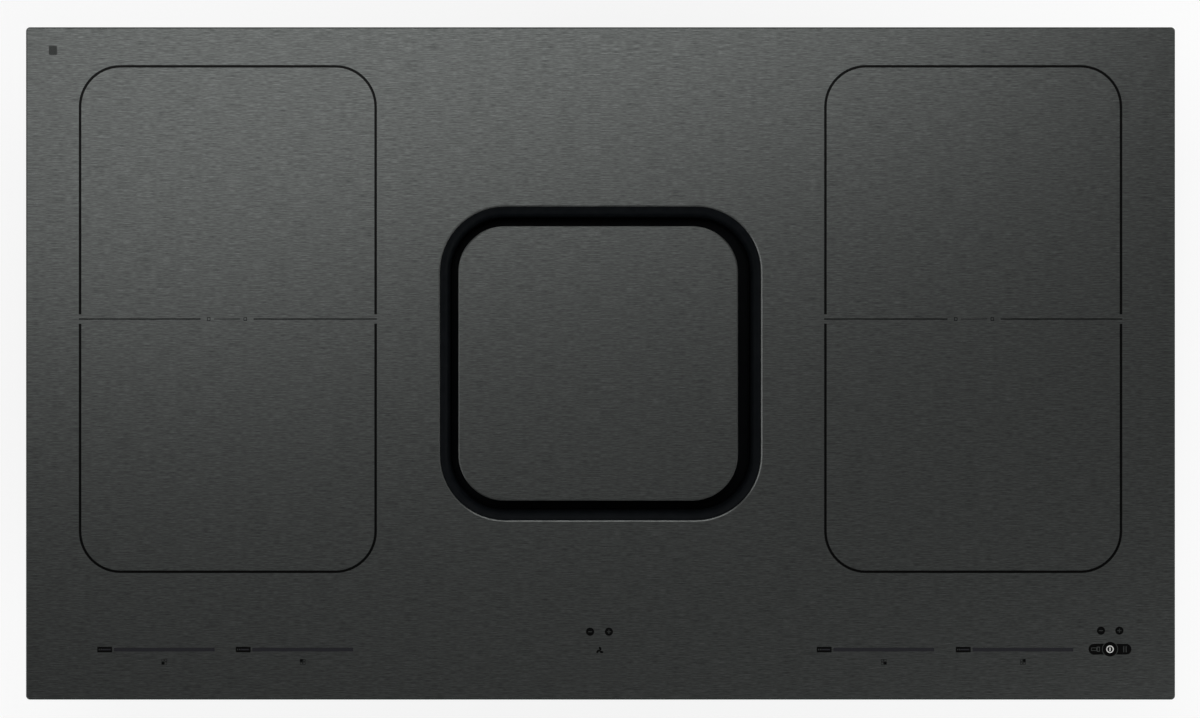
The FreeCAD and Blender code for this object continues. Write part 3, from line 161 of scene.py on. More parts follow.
def polished_black_polymer():
    # Deep black moulding that swallows the light down the intake and keeps a faint satin edge.
    material, tree, shader = new_material("polished_black_polymer", {"Specular IOR Level": 0.02})
    where = add(tree, "ShaderNodeTexCoord").outputs["Object"]
    flow = add(tree, "ShaderNodeTexNoise", {"Vector": where, "Scale": 1.0 / (6 * MM)})
    tone = add(tree, "ShaderNodeValToRGB", {"Fac": flow}, stops=[(0.35, "#080a0c"), (0.65, "#0b0d0f")])
    polish = add(tree, "ShaderNodeMapRange", {**NOISE_RANGE, "Value": flow, "To Min": 0.38, "To Max": 0.46})
    connect(tree, shader, {"Base Color": tone, "Roughness": polish})
    return material


def moulded_plastic(name, light, dark, grit, roughness):
    # Injection-moulded polymer from a spark-eroded tool: an even fine grit with faint flow clouds.
    # The grit is a tenth of a millimetre on a real moulding and is drawn coarser so that it shows.
    material, tree, shader = new_material(name, {"IOR": 1.49})
    where = add(tree, "ShaderNodeTexCoord").outputs["Object"]
    pits = add(tree, "ShaderNodeTexNoise",
               {"Vector": where, "Scale": 1.0 / grit, "Detail": 3.0, "Roughness": 0.6})
    clouds = add(tree, "ShaderNodeTexNoise", {"Vector": where, "Scale": 1.0 / (45 * MM)})
    pit_share = add(tree, "ShaderNodeMath", {0: pits, 1: 0.6}, {"operation": "MULTIPLY"})
    both = add(tree, "ShaderNodeMath", {0: clouds, 1: 0.4, 2: pit_share}, {"operation": "MULTIPLY_ADD"})
    tone = add(tree, "ShaderNodeValToRGB", {"Fac": both}, stops=[(0.35, dark), (0.65, light)])
    polish = add(tree, "ShaderNodeMapRange", {**NOISE_RANGE, "Value": pits, "To Min": roughness - 0.06,
                                              "To Max": roughness + 0.06})
    relief = add(tree, "ShaderNodeBump", {"Height": pits, "Distance": 0.08 * MM})
    connect(tree, shader, {"Base Color": tone, "Roughness": polish, "Normal": relief})
    return material


def zinc_coated_steel():
    # Cold-rolled sheet with a hot-dip zinc coat: dull metal with faint feathery spangles and the
    # fine lines of the rolls.
    material, tree, shader = new_material("zinc_coated_steel", {"Metallic": 1.0})
    spangle_size, feather_size, fraying, line_width = 8 * MM, 5 * MM, 4 * MM, 1.2 * MM
    where = add(tree, "ShaderNodeTexCoord").outputs["Object"]
    feather = add(tree, "ShaderNodeTexNoise", {"Vector": where, "Scale": 1.0 / feather_size, "Detail": 3.0})
    frayed = add(tree, "ShaderNodeVectorMath",
                 {0: feather.outputs["Color"], 1: (fraying, fraying, fraying), 2: where},
                 {"operation": "MULTIPLY_ADD"})
    spangle = add(tree, "ShaderNodeTexVoronoi",
                  {"Vector": frayed, "Scale": 1.0 / spangle_size, "Smoothness": 0.25},
                  {"feature": "SMOOTH_F1"})
    cell = add(tree, "ShaderNodeSeparateColor", {"Color": spangle.outputs["Color"]})
    rolled = add(tree, "ShaderNodeMapping", {"Vector": where, "Scale": (1.0, 0.1, 1.0)})
    fine = add(tree, "ShaderNodeTexNoise", {"Vector": rolled, "Scale": 1.0 / line_width, "Detail": 3.0})
    fine_share = add(tree, "ShaderNodeMath", {0: fine, 1: 0.5}, {"operation": "MULTIPLY"})
    share = add(tree, "ShaderNodeMath", {0: cell, 1: 0.4, 2: fine_share}, {"operation": "MULTIPLY_ADD"})
    tone = add(tree, "ShaderNodeValToRGB", {"Fac": share},
               stops=[(0.15, "#8f9395"), (0.45, "#9a9e9f"), (0.75, "#a6a9aa")])
    polish = add(tree, "ShaderNodeMapRange", {**NOISE_RANGE, "Value": share, "To Min": 0.43, "To Max": 0.39})
    relief = add(tree, "ShaderNodeBump", {"Height": fine, "Distance": 0.02 * MM})
    connect(tree, shader, {"Base Color": tone, "Roughness": polish, "Normal": relief})
    return material


def plated_pressing():
    # Thick pressed steel with bright electroplated zinc: even blue-grey metal, a little cloudy.
    material, tree, shader = new_material("zinc_plated_pressing", {"Metallic": 1.0})
    where = add(tree, "ShaderNodeTexCoord").outputs["Object"]
    bath = add(tree, "ShaderNodeTexNoise", {"Vector": where, "Scale": 1.0 / (7 * MM)})
    skin = add(tree, "ShaderNodeTexNoise", {"Vector": where, "Scale": 1.0 / (0.6 * MM)})
    bath_share = add(tree, "ShaderNodeMath", {0: bath, 1: 0.6}, {"operation": "MULTIPLY"})
    clouds = add(tree, "ShaderNodeMath", {0: skin, 1: 0.4, 2: bath_share}, {"operation": "MULTIPLY_ADD"})
    tone = add(tree, "ShaderNodeValToRGB", {"Fac": clouds}, stops=[(0.35, "#9a9da2"), (0.65, "#b0b3b7")])
    polish = add(tree, "ShaderNodeMapRange", {**NOISE_RANGE, "Value": clouds, "To Min": 0.30, "To Max": 0.40})
    relief = add(tree, "ShaderNodeBump", {"Height": clouds, "Distance": 0.02 * MM})
    connect(tree, shader, {"Base Color": tone, "Roughness": polish, "Normal": relief})
    return material


def zinc_plated_fastener():
    # Bright zinc plating with a faint yellow passivation, slightly uneven from the barrel.
    material, tree, shader = new_material("zinc_plated_fastener", {"Metallic": 1.0})
    where = add(tree, "ShaderNodeTexCoord").outputs["Object"]
    uneven = add(tree, "ShaderNodeTexNoise", {"Vector": where, "Scale": 1.0 / (1.5 * MM)})
    tone = add(tree, "ShaderNodeValToRGB", {"Fac": uneven}, stops=[(0.35, "#b3ada0"), (0.65, "#ccc9c0")])
    polish = add(tree, "ShaderNodeMapRange", {**NOISE_RANGE, "Value": uneven, "To Min": 0.25, "To Max": 0.40})
    connect(tree, shader, {"Base Color": tone, "Roughness": polish})
    return material


def drawn_metal(name, stretch, width, detail, light, dark, smooth, rough, depth=None):
    # Metal with the fine lines of its making, long along one axis. The lines are coarser than the real
    # ones, so that they show; depth is their relief, where they have any.
    material, tree, shader = new_material(name, {"Metallic": 1.0})
    where = add(tree, "ShaderNodeTexCoord").outputs["Object"]
    along = add(tree, "ShaderNodeMapping", {"Vector": where, "Scale": stretch})
    lines = add(tree, "ShaderNodeTexNoise", {"Vector": along, "Scale": 1.0 / width, "Detail": detail})
    tone = add(tree, "ShaderNodeValToRGB", {"Fac": lines}, stops=[(0.3, dark), (0.7, light)])
    polish = add(tree, "ShaderNodeMapRange",
                 {**NOISE_RANGE, "Value": lines, "To Min": smooth, "To Max": rough})
    connect(tree, shader, {"Base Color": tone, "Roughness": polish})
    if depth:
        relief = add(tree, "ShaderNodeBump", {"Height": lines, "Distance": depth})
        connect(tree, shader, {"Normal": relief})
    return material


def wound_core():
    # Enamelled copper over stacked steel laminations: warm brown with dark layer lines.
    material, tree, shader = new_material("wound_stator_core", {"Metallic": 0.7})
    where = add(tree, "ShaderNodeTexCoord").outputs["Object"]
    stacked = add(tree, "ShaderNodeMapping", {"Vector": where, "Scale": (0.05, 0.05, 1.0)})
    layers = add(tree, "ShaderNodeTexNoise", {"Vector": stacked, "Scale": 1.0 / (0.6 * MM)})
    tone = add(tree, "ShaderNodeValToRGB", {"Fac": layers}, stops=[(0.35, "#5a3a26"), (0.65, "#a06a44")])
    polish = add(tree, "ShaderNodeMapRange", {**NOISE_RANGE, "Value": layers, "To Min": 0.35, "To Max": 0.50})
    relief = add(tree, "ShaderNodeBump", {"Height": layers, "Distance": 0.1 * MM})
    connect(tree, shader, {"Base Color": tone, "Roughness": polish, "Normal": relief})
    return material


def enamelled_copper():
    # Litz of thin enamelled strands: bright orange brown with a fine diagonal twist, drawn two or
    # three strands wide so that it shows.
    material, tree, shader = new_material("enamelled_litz_copper", {"Metallic": 0.9})
    where = add(tree, "ShaderNodeTexCoord").outputs["Object"]
    twisted = add(tree, "ShaderNodeMapping",
                  {"Vector": where, "Scale": (1.0, 1.0, 0.2), "Rotation": (0, 0, 0.6)})
    strands = add(tree, "ShaderNodeTexNoise", {"Vector": twisted, "Scale": 1.0 / (0.8 * MM)})
    tone = add(tree, "ShaderNodeValToRGB", {"Fac": strands}, stops=[(0.3, "#8c4a24"), (0.7, "#c9793f")])
    polish = add(tree, "ShaderNodeMapRange",
                 {**NOISE_RANGE, "Value": strands, "To Min": 0.28, "To Max": 0.45})
    relief = add(tree, "ShaderNodeBump", {"Height": strands, "Distance": 0.15 * MM})
    connect(tree, shader, {"Base Color": tone, "Roughness": polish, "Normal": relief})
    return material


def dull_mineral(name, light, dark, size, roughness):
    # Pressed mineral sheet or sintered body: dry, matt and faintly mottled.
    material, tree, shader = new_material(name, {"IOR": 1.55})
    where = add(tree, "ShaderNodeTexCoord").outputs["Object"]
    mottle = add(tree, "ShaderNodeTexNoise",
                 {"Vector": where, "Scale": 1.0 / size, "Detail": 4.0, "Roughness": 0.6})
    tone = add(tree, "ShaderNodeValToRGB", {"Fac": mottle}, stops=[(0.35, dark), (0.65, light)])
    polish = add(tree, "ShaderNodeMapRange", {**NOISE_RANGE, "Value": mottle, "To Min": roughness - 0.08,
                                              "To Max": roughness + 0.08})
    relief = add(tree, "ShaderNodeBump", {"Height": mottle, "Distance": 0.05 * MM})
    connect(tree, shader, {"Base Color": tone, "Roughness": polish, "Normal": relief})
    return material


def solder_masked_board():
    # Fibreglass board under green solder mask: glossy, with a faint grid where the glass weave and
    # the copper tracks show through; it is as coarse as the tracks, because the weave is too fine.
    material, tree, shader = new_material("solder_masked_board", {"IOR": 1.5, "Coat Weight": 0.5})
    where = add(tree, "ShaderNodeTexCoord").outputs["Object"]
    weave = add(tree, "ShaderNodeTexBrick", {
        "Vector": where, "Scale": 1.0 / (4 * MM), "Mortar Size": 0.06,
        "Color1": colour("#0f5a34"), "Color2": colour("#156b3f"), "Mortar": colour("#0a4327")})
    clouds = add(tree, "ShaderNodeTexNoise", {"Vector": where, "Scale": 1.0 / (6 * MM)})
    polish = add(tree, "ShaderNodeMapRange", {**NOISE_RANGE, "Value": clouds, "To Min": 0.3, "To Max": 0.45})
    connect(tree, shader, {"Base Color": weave, "Roughness": polish})
    return material


def closed_cell_foam():
    # Black closed-cell foam tape: matt, with tiny pores, drawn coarser than real so that they show.
    material, tree, shader = new_material("closed_cell_foam", {"IOR": 1.45})
    where = add(tree, "ShaderNodeTexCoord").outputs["Object"]
    pores = add(tree, "ShaderNodeTexVoronoi", {"Vector": where, "Scale": 1.0 / (0.9 * MM)})
    tone = add(tree, "ShaderNodeValToRGB", {"Fac": pores}, stops=[(0.1, "#0e0e0f"), (0.6, "#2a2a2b")])
    polish = add(tree, "ShaderNodeMapRange", {**NOISE_RANGE, "Value": pores, "To Min": 0.85, "To Max": 0.95})
    relief = add(tree, "ShaderNodeBump", {"Height": pores, "Distance": 0.15 * MM})
    connect(tree, shader, {"Base Color": tone, "Roughness": polish, "Normal": relief})
    return material


# The stainless sheet has a short directional polish that draws the light out sideways, the bearing
# steel fine turning rings, and the aluminium the mill's long draw lines, soft and pale.

MATERIALS = {
    "dark_glass": brushed_glass_ceramic(),
    "black_plastic": moulded_plastic("moulded_black_polymer", "#1c1d1f", "#121315", 0.7 * MM, 0.5),
    "gloss_black_plastic": polished_black_polymer(),
    "grey_plastic": moulded_plastic("talc_filled_grey_polymer", "#4b4d50", "#3b3d40", 0.9 * MM, 0.55),
    "foam_rubber": closed_cell_foam(),
    "zinc_steel": zinc_coated_steel(),
    "screw_steel": zinc_plated_fastener(),
    "stainless_mesh": drawn_metal("brushed_stainless_sheet", (0.03, 1.0, 0.3), 0.5 * MM, 3.0,
                                  "#b9bab9", "#98999a", 0.28, 0.42, 0.02 * MM),
    "bearing_steel": drawn_metal("ground_bearing_steel", (0.2, 0.2, 1.0), 0.4 * MM, 2.0,
                                 "#d2d3d4", "#b8b9bb", 0.14, 0.24),
    "core_steel": wound_core(),
    "aluminium": drawn_metal("mill_finish_aluminium", (1.0, 0.02, 1.0), 1.0 * MM, 3.0,
                             "#dcddde", "#c3c5c7", 0.30, 0.42),
    "copper_wire": enamelled_copper(),
    "ferrite": dull_mineral("sintered_ferrite", "#37383a", "#262729", 1.2 * MM, 0.65),
    "mica": dull_mineral("pressed_mica_sheet", "#d0c6ae", "#b3a88e", 3.0 * MM, 0.7),
    "white_plastic": moulded_plastic("moulded_white_polymer", "#dad9d3", "#cfcec8", 0.7 * MM, 0.45),
    "green_board": solder_masked_board(),
}
BLACK_INK = black_print("black_ceramic_ink", "#040404", "#020202")
SOFT_INK = black_print("dark_grey_ceramic_ink", "#222225", "#1c1c1f")
DIM_INK = black_print("dim_grey_ceramic_ink", "#343635", "#2d2f2e")
WHITE_INK = black_print("white_ceramic_ink", "#b4b4b2", "#a9a9a7")

# The mouldings inside the intake are as deep black as its collar, and pressed parts are plated one by
# one, so they show no spangles.
FINISH_OF = {part["node"]: MATERIALS[part["material_slot"]] for part in frame["record"]["subparts"]}
for name in ("filter_frame", "cover_carrier"):
    FINISH_OF[name] = MATERIALS["gloss_black_plastic"]
PRESSED_STEEL = plated_pressing()
for name in FINISH_OF:
    if name.startswith("clamp_arm") or name in ("clamp_brackets", "motor_base", "rotor_cup"):
        FINISH_OF[name] = PRESSED_STEEL
for name, thing in nodes.items():
    thing.data.materials.clear()
    thing.data.materials.append(FINISH_OF[name])


# ---------------------------------------------------------------- modelling helpers

def deselect():
    """Deselect all objects, because an operator acts on whatever is selected."""
    for thing in list(bpy.context.selected_objects):
        thing.select_set(False)


def plane(left, right, front, back, level):
    """A flat rectangle from a primitive plane, its place already in its mesh."""
    deselect()
    bpy.ops.mesh.primitive_plane_add(size=1, location=((left + right) / 2, (front + back) / 2, level))
    made = bpy.context.object
    made.scale = (right - left, back - front, 1)
    bpy.ops.object.transform_apply(location=True, rotation=True, scale=True)
    return made


def disc(x, y, radius, level, corners=48):
    """A flat round face from a primitive circle, its place already in its mesh."""
    deselect()
    bpy.ops.mesh.primitive_circle_add(vertices=corners, radius=radius, fill_type="NGON",
                                      location=(x, y, level))
    bpy.ops.object.transform_apply(location=True, rotation=True, scale=True)
    return bpy.context.object


def edit(thing):
    """Open a piece in edit mode with all of it selected."""
    deselect()
    thing.select_set(True)
    bpy.context.view_layer.objects.active = thing
    bpy.ops.object.mode_set(mode="EDIT")
    bpy.ops.mesh.select_mode(type="FACE")
    bpy.ops.mesh.select_all(action="SELECT")


def pick_faces(test):
    """Select the faces whose middle passes a test."""
    mesh = bmesh.from_edit_mesh(bpy.context.object.data)
    for face in mesh.faces:
        face.select_set(bool(test(face.calc_center_median())))
    mesh.select_flush_mode()
    bmesh.update_edit_mesh(bpy.context.object.data)


def everything():
    """Select the whole mesh that is open in edit mode."""
    bpy.ops.mesh.select_all(action="SELECT")


def thicken(height):
    """Raise the whole flat shape into a thin solid and turn its faces outwards."""
    everything()
    bpy.ops.mesh.extrude_region_move(TRANSFORM_OT_translate={"value": (0, 0, height)})
    everything()
    bpy.ops.mesh.normals_make_consistent(inside=False)
    bpy.ops.object.mode_set(mode="OBJECT")


def join(pieces):
    """Make one piece of several; the first one stays."""
    deselect()
    for piece in pieces:
        piece.select_set(True)
    bpy.context.view_layer.objects.active = pieces[0]
    bpy.ops.object.join()
    return bpy.context.object


def finish_piece(piece, name, body, material, smooth=None):
    """Name a finished piece, give it its material and let it ride on a body.

    smooth is the angle in degrees up to which edges are shaded smooth.
    """
    deselect()
    piece.name = name
    piece.data.name = name
    piece.data.materials.clear()
    piece.data.materials.append(material)
    if smooth is not None:
        piece.select_set(True)
        bpy.context.view_layer.objects.active = piece
        bpy.ops.object.shade_smooth_by_angle(angle=math.radians(smooth))
    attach(piece, body)
    return piece


def point(x, y, level):
    """A single point, from a small plane merged to its middle; it is left open in edit mode."""
    made = plane(x - MM, x + MM, y - MM, y + MM, level)
    edit(made)
    bpy.ops.mesh.merge(type="CENTER")
    bpy.ops.mesh.select_mode(type="VERT")
    everything()
    return made


def raised(outline, level):
    """An outline of (radius, height) steps in millimetres, in metres above a level."""
    return [(radius * MM, level + height * MM) for radius, height in outline]


def turned(x, y, outline, corners=24):
    """A body turned about an upright axis, from its outline of (radius, height) steps, bottom first."""
    radius, height = outline[0]
    made = point(x + radius, y, height)
    for next_radius, next_height in outline[1:]:
        step = (next_radius - radius, 0, next_height - height)
        bpy.ops.mesh.extrude_vertices_move(TRANSFORM_OT_translate={"value": step})
        radius, height = next_radius, next_height
    everything()
    bpy.ops.mesh.spin(steps=corners, angle=math.tau, center=(x, y, 0), axis=(0, 0, 1))
    close_up()
    return made


WELD = 0.002 * MM                          # points nearer than this are one


def close_up():
    """Merge what meets, close what is open, turn all faces outwards and leave edit mode."""
    everything()
    bpy.ops.mesh.remove_doubles(threshold=WELD)
    bpy.ops.mesh.select_mode(type="VERT")
    bpy.ops.mesh.select_all(action="DESELECT")
    bpy.ops.mesh.select_non_manifold(extend=False)
    bpy.ops.mesh.fill_holes(sides=0)
    everything()
    bpy.ops.mesh.normals_make_consistent(inside=False)
    bpy.ops.object.mode_set(mode="OBJECT")


def tip_over(piece, centre, axis, degrees):
    """Turn a piece about a point, round the X, Y or Z axis."""
    edit(piece)
    bpy.ops.transform.rotate(value=math.radians(degrees), orient_axis=axis, center_override=centre)
    bpy.ops.object.mode_set(mode="OBJECT")


def copy_of(piece, shift):
    """A copy with its own mesh, moved by a shift."""
    deselect()
    piece.select_set(True)
    bpy.context.view_layer.objects.active = piece
    bpy.ops.object.duplicate()
    made = bpy.context.object
    edit(made)
    bpy.ops.transform.translate(value=shift)
    bpy.ops.object.mode_set(mode="OBJECT")
    return made


def carve(piece, cutter):
    """Take one piece's shape out of another."""
    deselect()
    piece.select_set(True)
    bpy.context.view_layer.objects.active = piece
    bpy.ops.object.modifier_add(type="BOOLEAN")
    piece.modifiers[-1].object = cutter
    piece.modifiers[-1].solver = "EXACT"
    bpy.ops.object.modifier_apply(modifier=piece.modifiers[-1].name)
    deselect()
    cutter.select_set(True)
    bpy.ops.object.delete()


def brick(low, high):
    """A box from a primitive cube, its place already in its mesh."""
    deselect()
    middle = [(a + b) / 2 for a, b in zip(low, high)]
    bpy.ops.mesh.primitive_cube_add(size=1, location=middle)
    made = bpy.context.object
    made.scale = [b - a for a, b in zip(low, high)]
    bpy.ops.object.transform_apply(location=True, rotation=True, scale=True)
    return made


# ---------------------------------------------------------------- worktop clamps

# Outlines of turned bodies are (radius, height) steps in millimetres, from the bottom up.

SIDES = (("left", -1), ("right", 1))
CLAMPS = (("front", -140.0 * MM), ("rear", 165.0 * MM))
TRAY_SIDE = 412.0 * MM                     # outer side of both electronics trays
BRACKET_PLATE = 1.5 * MM
SINK = 0.2 * MM                            # how far rivets and added sheets reach into what holds them

THREAD_PITCH = 1.0 * MM                    # a little coarser than real, so that it shows
THREAD_OUTER = 2.0 * MM
THREAD_ROOT = 1.55 * MM
THREAD_OVERLAP = 0.5 * MM                  # how far the thread runs into the head and the foot
JACK_END = 3.0 * MM                        # height of the head and of the foot
JACK_HEAD = ((0, 0), (3.3, 0), (4.0, 0.7), (4.0, 2.7), (3.7, 3.0), (0, 3.0))
JACK_FOOT = ((0, 0), (3.6, 0), (4.2, 0.5), (4.2, 2.2), (3.4, 3.0), (0, 3.0))
SLOT_HALF_LENGTH = 5.0 * MM                # longer than the head, so that the slot runs right across
SLOT_HALF_WIDTH = 0.5 * MM
SLOT_DEPTH = 1.4 * MM

DOME_RIVET = ((0, -0.2), (2.4, -0.2), (2.4, 0.2), (1.92, 0.77), (0.96, 1.045), (0, 1.1))
RIVET_LEVELS = (150.5 * MM, 161.5 * MM)
RIVET_SPREAD = 9.0 * MM


def threaded_rod(x, y, low, high):
    """A length of screw thread, closed at both ends."""
    turns = int((high - low) / THREAD_PITCH)
    made = point(x + THREAD_ROOT, y, high - THREAD_PITCH)
    depth, rise = THREAD_OUTER - THREAD_ROOT, THREAD_PITCH / 2
    for step in ((depth, 0, rise), (-depth, 0, rise)):
        bpy.ops.mesh.extrude_vertices_move(TRANSFORM_OT_translate={"value": step})
    everything()
    bpy.ops.mesh.screw(steps=14, turns=turns, center=(x, y, 0), axis=(0, 0, 1))
    close_up()
    return made


def jack_screw(node):
    """Jack screw of a clamp: slotted head below, real thread, and a smooth foot on top."""
    low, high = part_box(node)
    x, y = (low.x + high.x) / 2, (low.y + high.y) / 2
    head_top, foot = low.z + JACK_END, high.z - JACK_END
    head = turned(x, y, raised(JACK_HEAD, low.z))
    carve(head, brick((x - SLOT_HALF_LENGTH, y - SLOT_HALF_WIDTH, low.z - SLOT_DEPTH),
                      (x + SLOT_HALF_LENGTH, y + SLOT_HALF_WIDTH, low.z + SLOT_DEPTH)))
    cap = turned(x, y, raised(JACK_FOOT, foot))
    rod = threaded_rod(x, y, head_top - THREAD_OVERLAP, foot + THREAD_OVERLAP)
    return join([head, cap, rod])


def rivet(x, y, level, side, outline, corners):
    """A rivet's head on an upright sheet, pointing to the left (-1) or the right (1)."""
    made = turned(x, y, raised(outline, level), corners)
    tip_over(made, (x, y, level), "Y", -90 * side)
    return made


def bracket_rivets(y, side):
    """Four dome-headed rivets that hold one clamp bracket to the tray."""
    low, high = RIVET_LEVELS
    first = rivet(side * (TRAY_SIDE + BRACKET_PLATE), y - RIVET_SPREAD, low, side, DOME_RIVET, corners=16)
    reach, rise = 2 * RIVET_SPREAD, high - low
    copies = [copy_of(first, shift) for shift in ((0, reach, 0), (0, 0, rise), (0, reach, rise))]
    return join([first, *copies])


for place_name, clamp_y in CLAMPS:
    for side_name, side in SIDES:
        clamp = place_name + "_" + side_name
        screw = finish_piece(jack_screw("clamp_screw_" + clamp), "threaded_jack_screw_" + clamp,
                             "jack_" + clamp, MATERIALS["screw_steel"], smooth=40)
        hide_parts("clamp_screw_" + clamp)
        finish_piece(bracket_rivets(clamp_y, side), "bracket_rivets_" + clamp, "root",
                     MATERIALS["screw_steel"], smooth=40)


# ---------------------------------------------------------------- tray corners

TRAY_END = 234.0 * MM                      # front and rear faces of the trays, from the middle
TAB_WIDTH = 14.0 * MM
TAB_LEVELS = (142.0 * MM, 182.0 * MM)
TAB_SHEET = 0.8 * MM
TAB_CORNER = 4.0 * MM
TAB_EDGE = 0.15 * MM                       # broken edge of the cut sheet
TAB_RIVETS = (150.0 * MM, 174.0 * MM)
BLIND_RIVET = ((0, -0.2), (2.6, -0.2), (2.6, 0.25), (2.1, 0.8), (1.1, 1.0), (0.9, 0.9), (0.9, 0.2),
               (0, 0.2))


def corner_tab(side, end):
    """Folded tab that laps over a tray's corner, with its two free corners rounded."""
    face = side * TRAY_SIDE
    left, right = sorted((face - side * SINK, face + side * TAB_SHEET))
    front, back = sorted((end * (TRAY_END - TAB_WIDTH), end * TRAY_END))
    tab = brick((left, front, TAB_LEVELS[0]), (right, back, TAB_LEVELS[1]))
    edit(tab)
    mesh = bmesh.from_edit_mesh(tab.data)
    bpy.ops.mesh.select_mode(type="EDGE")
    bpy.ops.mesh.select_all(action="DESELECT")
    for edge in mesh.edges:
        a, b = (corner.co for corner in edge.verts)
        free = all(abs(corner.y) < TRAY_END - TAB_WIDTH / 2 for corner in (a, b))
        edge.select_set(free and abs(a.x - b.x) > TAB_SHEET / 2)
    bmesh.update_edit_mesh(tab.data)
    bpy.ops.mesh.bevel(offset=TAB_CORNER, segments=6, affect="EDGES")
    everything()
    bpy.ops.mesh.bevel(offset=TAB_EDGE, segments=1, affect="EDGES", clamp_overlap=True)
    bpy.ops.object.mode_set(mode="OBJECT")
    return tab


def corner_rivets(side, end):
    """Two blind rivets through a corner tab, each with the hole that its pin left."""
    low, high = TAB_RIVETS
    y = end * (TRAY_END - TAB_WIDTH / 2)
    first = rivet(side * (TRAY_SIDE + TAB_SHEET), y, low, side, BLIND_RIVET, corners=20)
    return join([first, copy_of(first, (0, 0, high - low))])


for end_name, end in (("front", -1), ("rear", 1)):
    for side_name, side in SIDES:
        corner = end_name + "_" + side_name
        finish_piece(corner_tab(side, end), "corner_tab_" + corner, "root",
                     MATERIALS["zinc_steel"], smooth=30)
        finish_piece(corner_rivets(side, end), "corner_rivets_" + corner, "root",
                     PRESSED_STEEL, smooth=40)


# ---------------------------------------------------------------- cable inlet

GLAND = (-267.0 * MM, 119.0 * MM)          # the inlet's axis, in X and Z
GLAND_BORE = 10.4 * MM                     # the nut bites a little into the inlet's tube
NUT_RADIUS = 14.2 * MM
NUT_THICKNESS = 4.5 * MM
NUT_CHAMFER = 0.5 * MM
NUT_BITE = 0.045 * MM                      # how far it presses into the box
BOX_BACK = 228.0 * MM                      # rear face of the connection box


def gland_nut():
    """Six-sided lock nut round the cable inlet."""
    x, z = GLAND
    deselect()
    bpy.ops.mesh.primitive_cylinder_add(
        vertices=6, radius=NUT_RADIUS, depth=NUT_THICKNESS, rotation=(math.pi / 2, 0, 0),
        location=(x, BOX_BACK + NUT_THICKNESS / 2 - NUT_BITE, z))
    bpy.ops.object.transform_apply(location=True, rotation=True, scale=True)
    nut = bpy.context.object
    edit(nut)
    bpy.ops.mesh.bevel(offset=NUT_CHAMFER, segments=2, affect="EDGES")
    bpy.ops.object.mode_set(mode="OBJECT")
    low, high = z - 2 * NUT_THICKNESS, z + 2 * NUT_THICKNESS
    hole = turned(x, BOX_BACK, [(0, low), (GLAND_BORE, low), (GLAND_BORE, high), (0, high)],
                  corners=40)
    tip_over(hole, (x, BOX_BACK, z), "X", 90)
    carve(nut, hole)
    return nut


finish_piece(gland_nut(), "gland_lock_nut", "root", MATERIALS["black_plastic"], smooth=30)


# ---------------------------------------------------------------- ink

PRINT_BASE = SURFACE - 0.02 * MM           # the ink's underside, just inside the glass
INK = 0.05 * MM                            # its thickness, more than real so that it shows
OVERPRINT = PRINT_BASE + INK / 2           # underside of ink that lies on ink
TOP_PRINT = PRINT_BASE + 0.8 * INK         # underside of what lies on the switch's thicker spot


def line_only(stroke):
    """Keep just a line along the edge of the flat shape that is open in edit mode."""
    bpy.ops.mesh.inset(thickness=stroke, use_even_offset=True)
    bpy.ops.mesh.delete(type="FACE")


def spot(x, y, radius, corners=48, height=INK):
    """One printed disc."""
    made = disc(x, y, radius, PRINT_BASE, corners)
    edit(made)
    thicken(height)
    return made


def ring(x, y, radius, stroke, level):
    """One printed circle line."""
    made = disc(x, y, radius, level)
    edit(made)
    line_only(stroke)
    thicken(INK)
    return made


def bar(left, right, front, back, corner=0.0, level=PRINT_BASE):
    """One printed bar, with rounded corners if a radius is given."""
    made = plane(left, right, front, back, level)
    edit(made)
    if corner:
        bpy.ops.mesh.bevel(offset=corner, offset_pct=0, segments=8, affect="VERTICES")
    thicken(INK)
    return made


def box_line(left, right, front, back, stroke, level=PRINT_BASE):
    """One printed rectangle line."""
    made = plane(left, right, front, back, level)
    edit(made)
    line_only(stroke)
    thicken(INK)
    return made


# ---------------------------------------------------------------- cooking zones

ZONE_X = 285.35 * MM
ZONE_HALF_X = 114.15 * MM
ZONE_HALF_Y = 194.5 * MM
ZONE_RADIUS = 32.0 * MM
ZONE_LINE = 2.0 * MM
MIDDLE_Y = 34.0 * MM                       # between the front and the rear zone of a pair
SIDE_GAP = 3.55 * MM                       # half the gap in each side of an outline
HAIRLINE_HALF = 0.45 * MM                  # line between the two zones of a pair
LINK_X = 286.0 * MM                        # symbol of two linked squares in that line
LINK_HALF = 15.3 * MM
LINK_GAP = 5.0 * MM
LINK_SQUARE = 1.3 * MM                     # half size of its squares
LINK_STROKE = 0.5 * MM


def zone_outline(side):
    """Rounded outline round a pair of cooking zones, open for a moment at the middle of each side."""
    x = side * ZONE_X
    made = plane(x - ZONE_HALF_X, x + ZONE_HALF_X, MIDDLE_Y - ZONE_HALF_Y, MIDDLE_Y + ZONE_HALF_Y,
                 PRINT_BASE)
    edit(made)
    bpy.ops.mesh.bevel(offset=ZONE_RADIUS, offset_pct=0, segments=14, affect="VERTICES")
    line_only(ZONE_LINE)
    for cut in (MIDDLE_Y - SIDE_GAP, MIDDLE_Y + SIDE_GAP):
        everything()
        bpy.ops.mesh.bisect(plane_co=(0, cut, 0), plane_no=(0, 1, 0))
    pick_faces(lambda middle: abs(middle.y - MIDDLE_Y) < SIDE_GAP)
    bpy.ops.mesh.delete(type="FACE")
    thicken(INK)
    return made


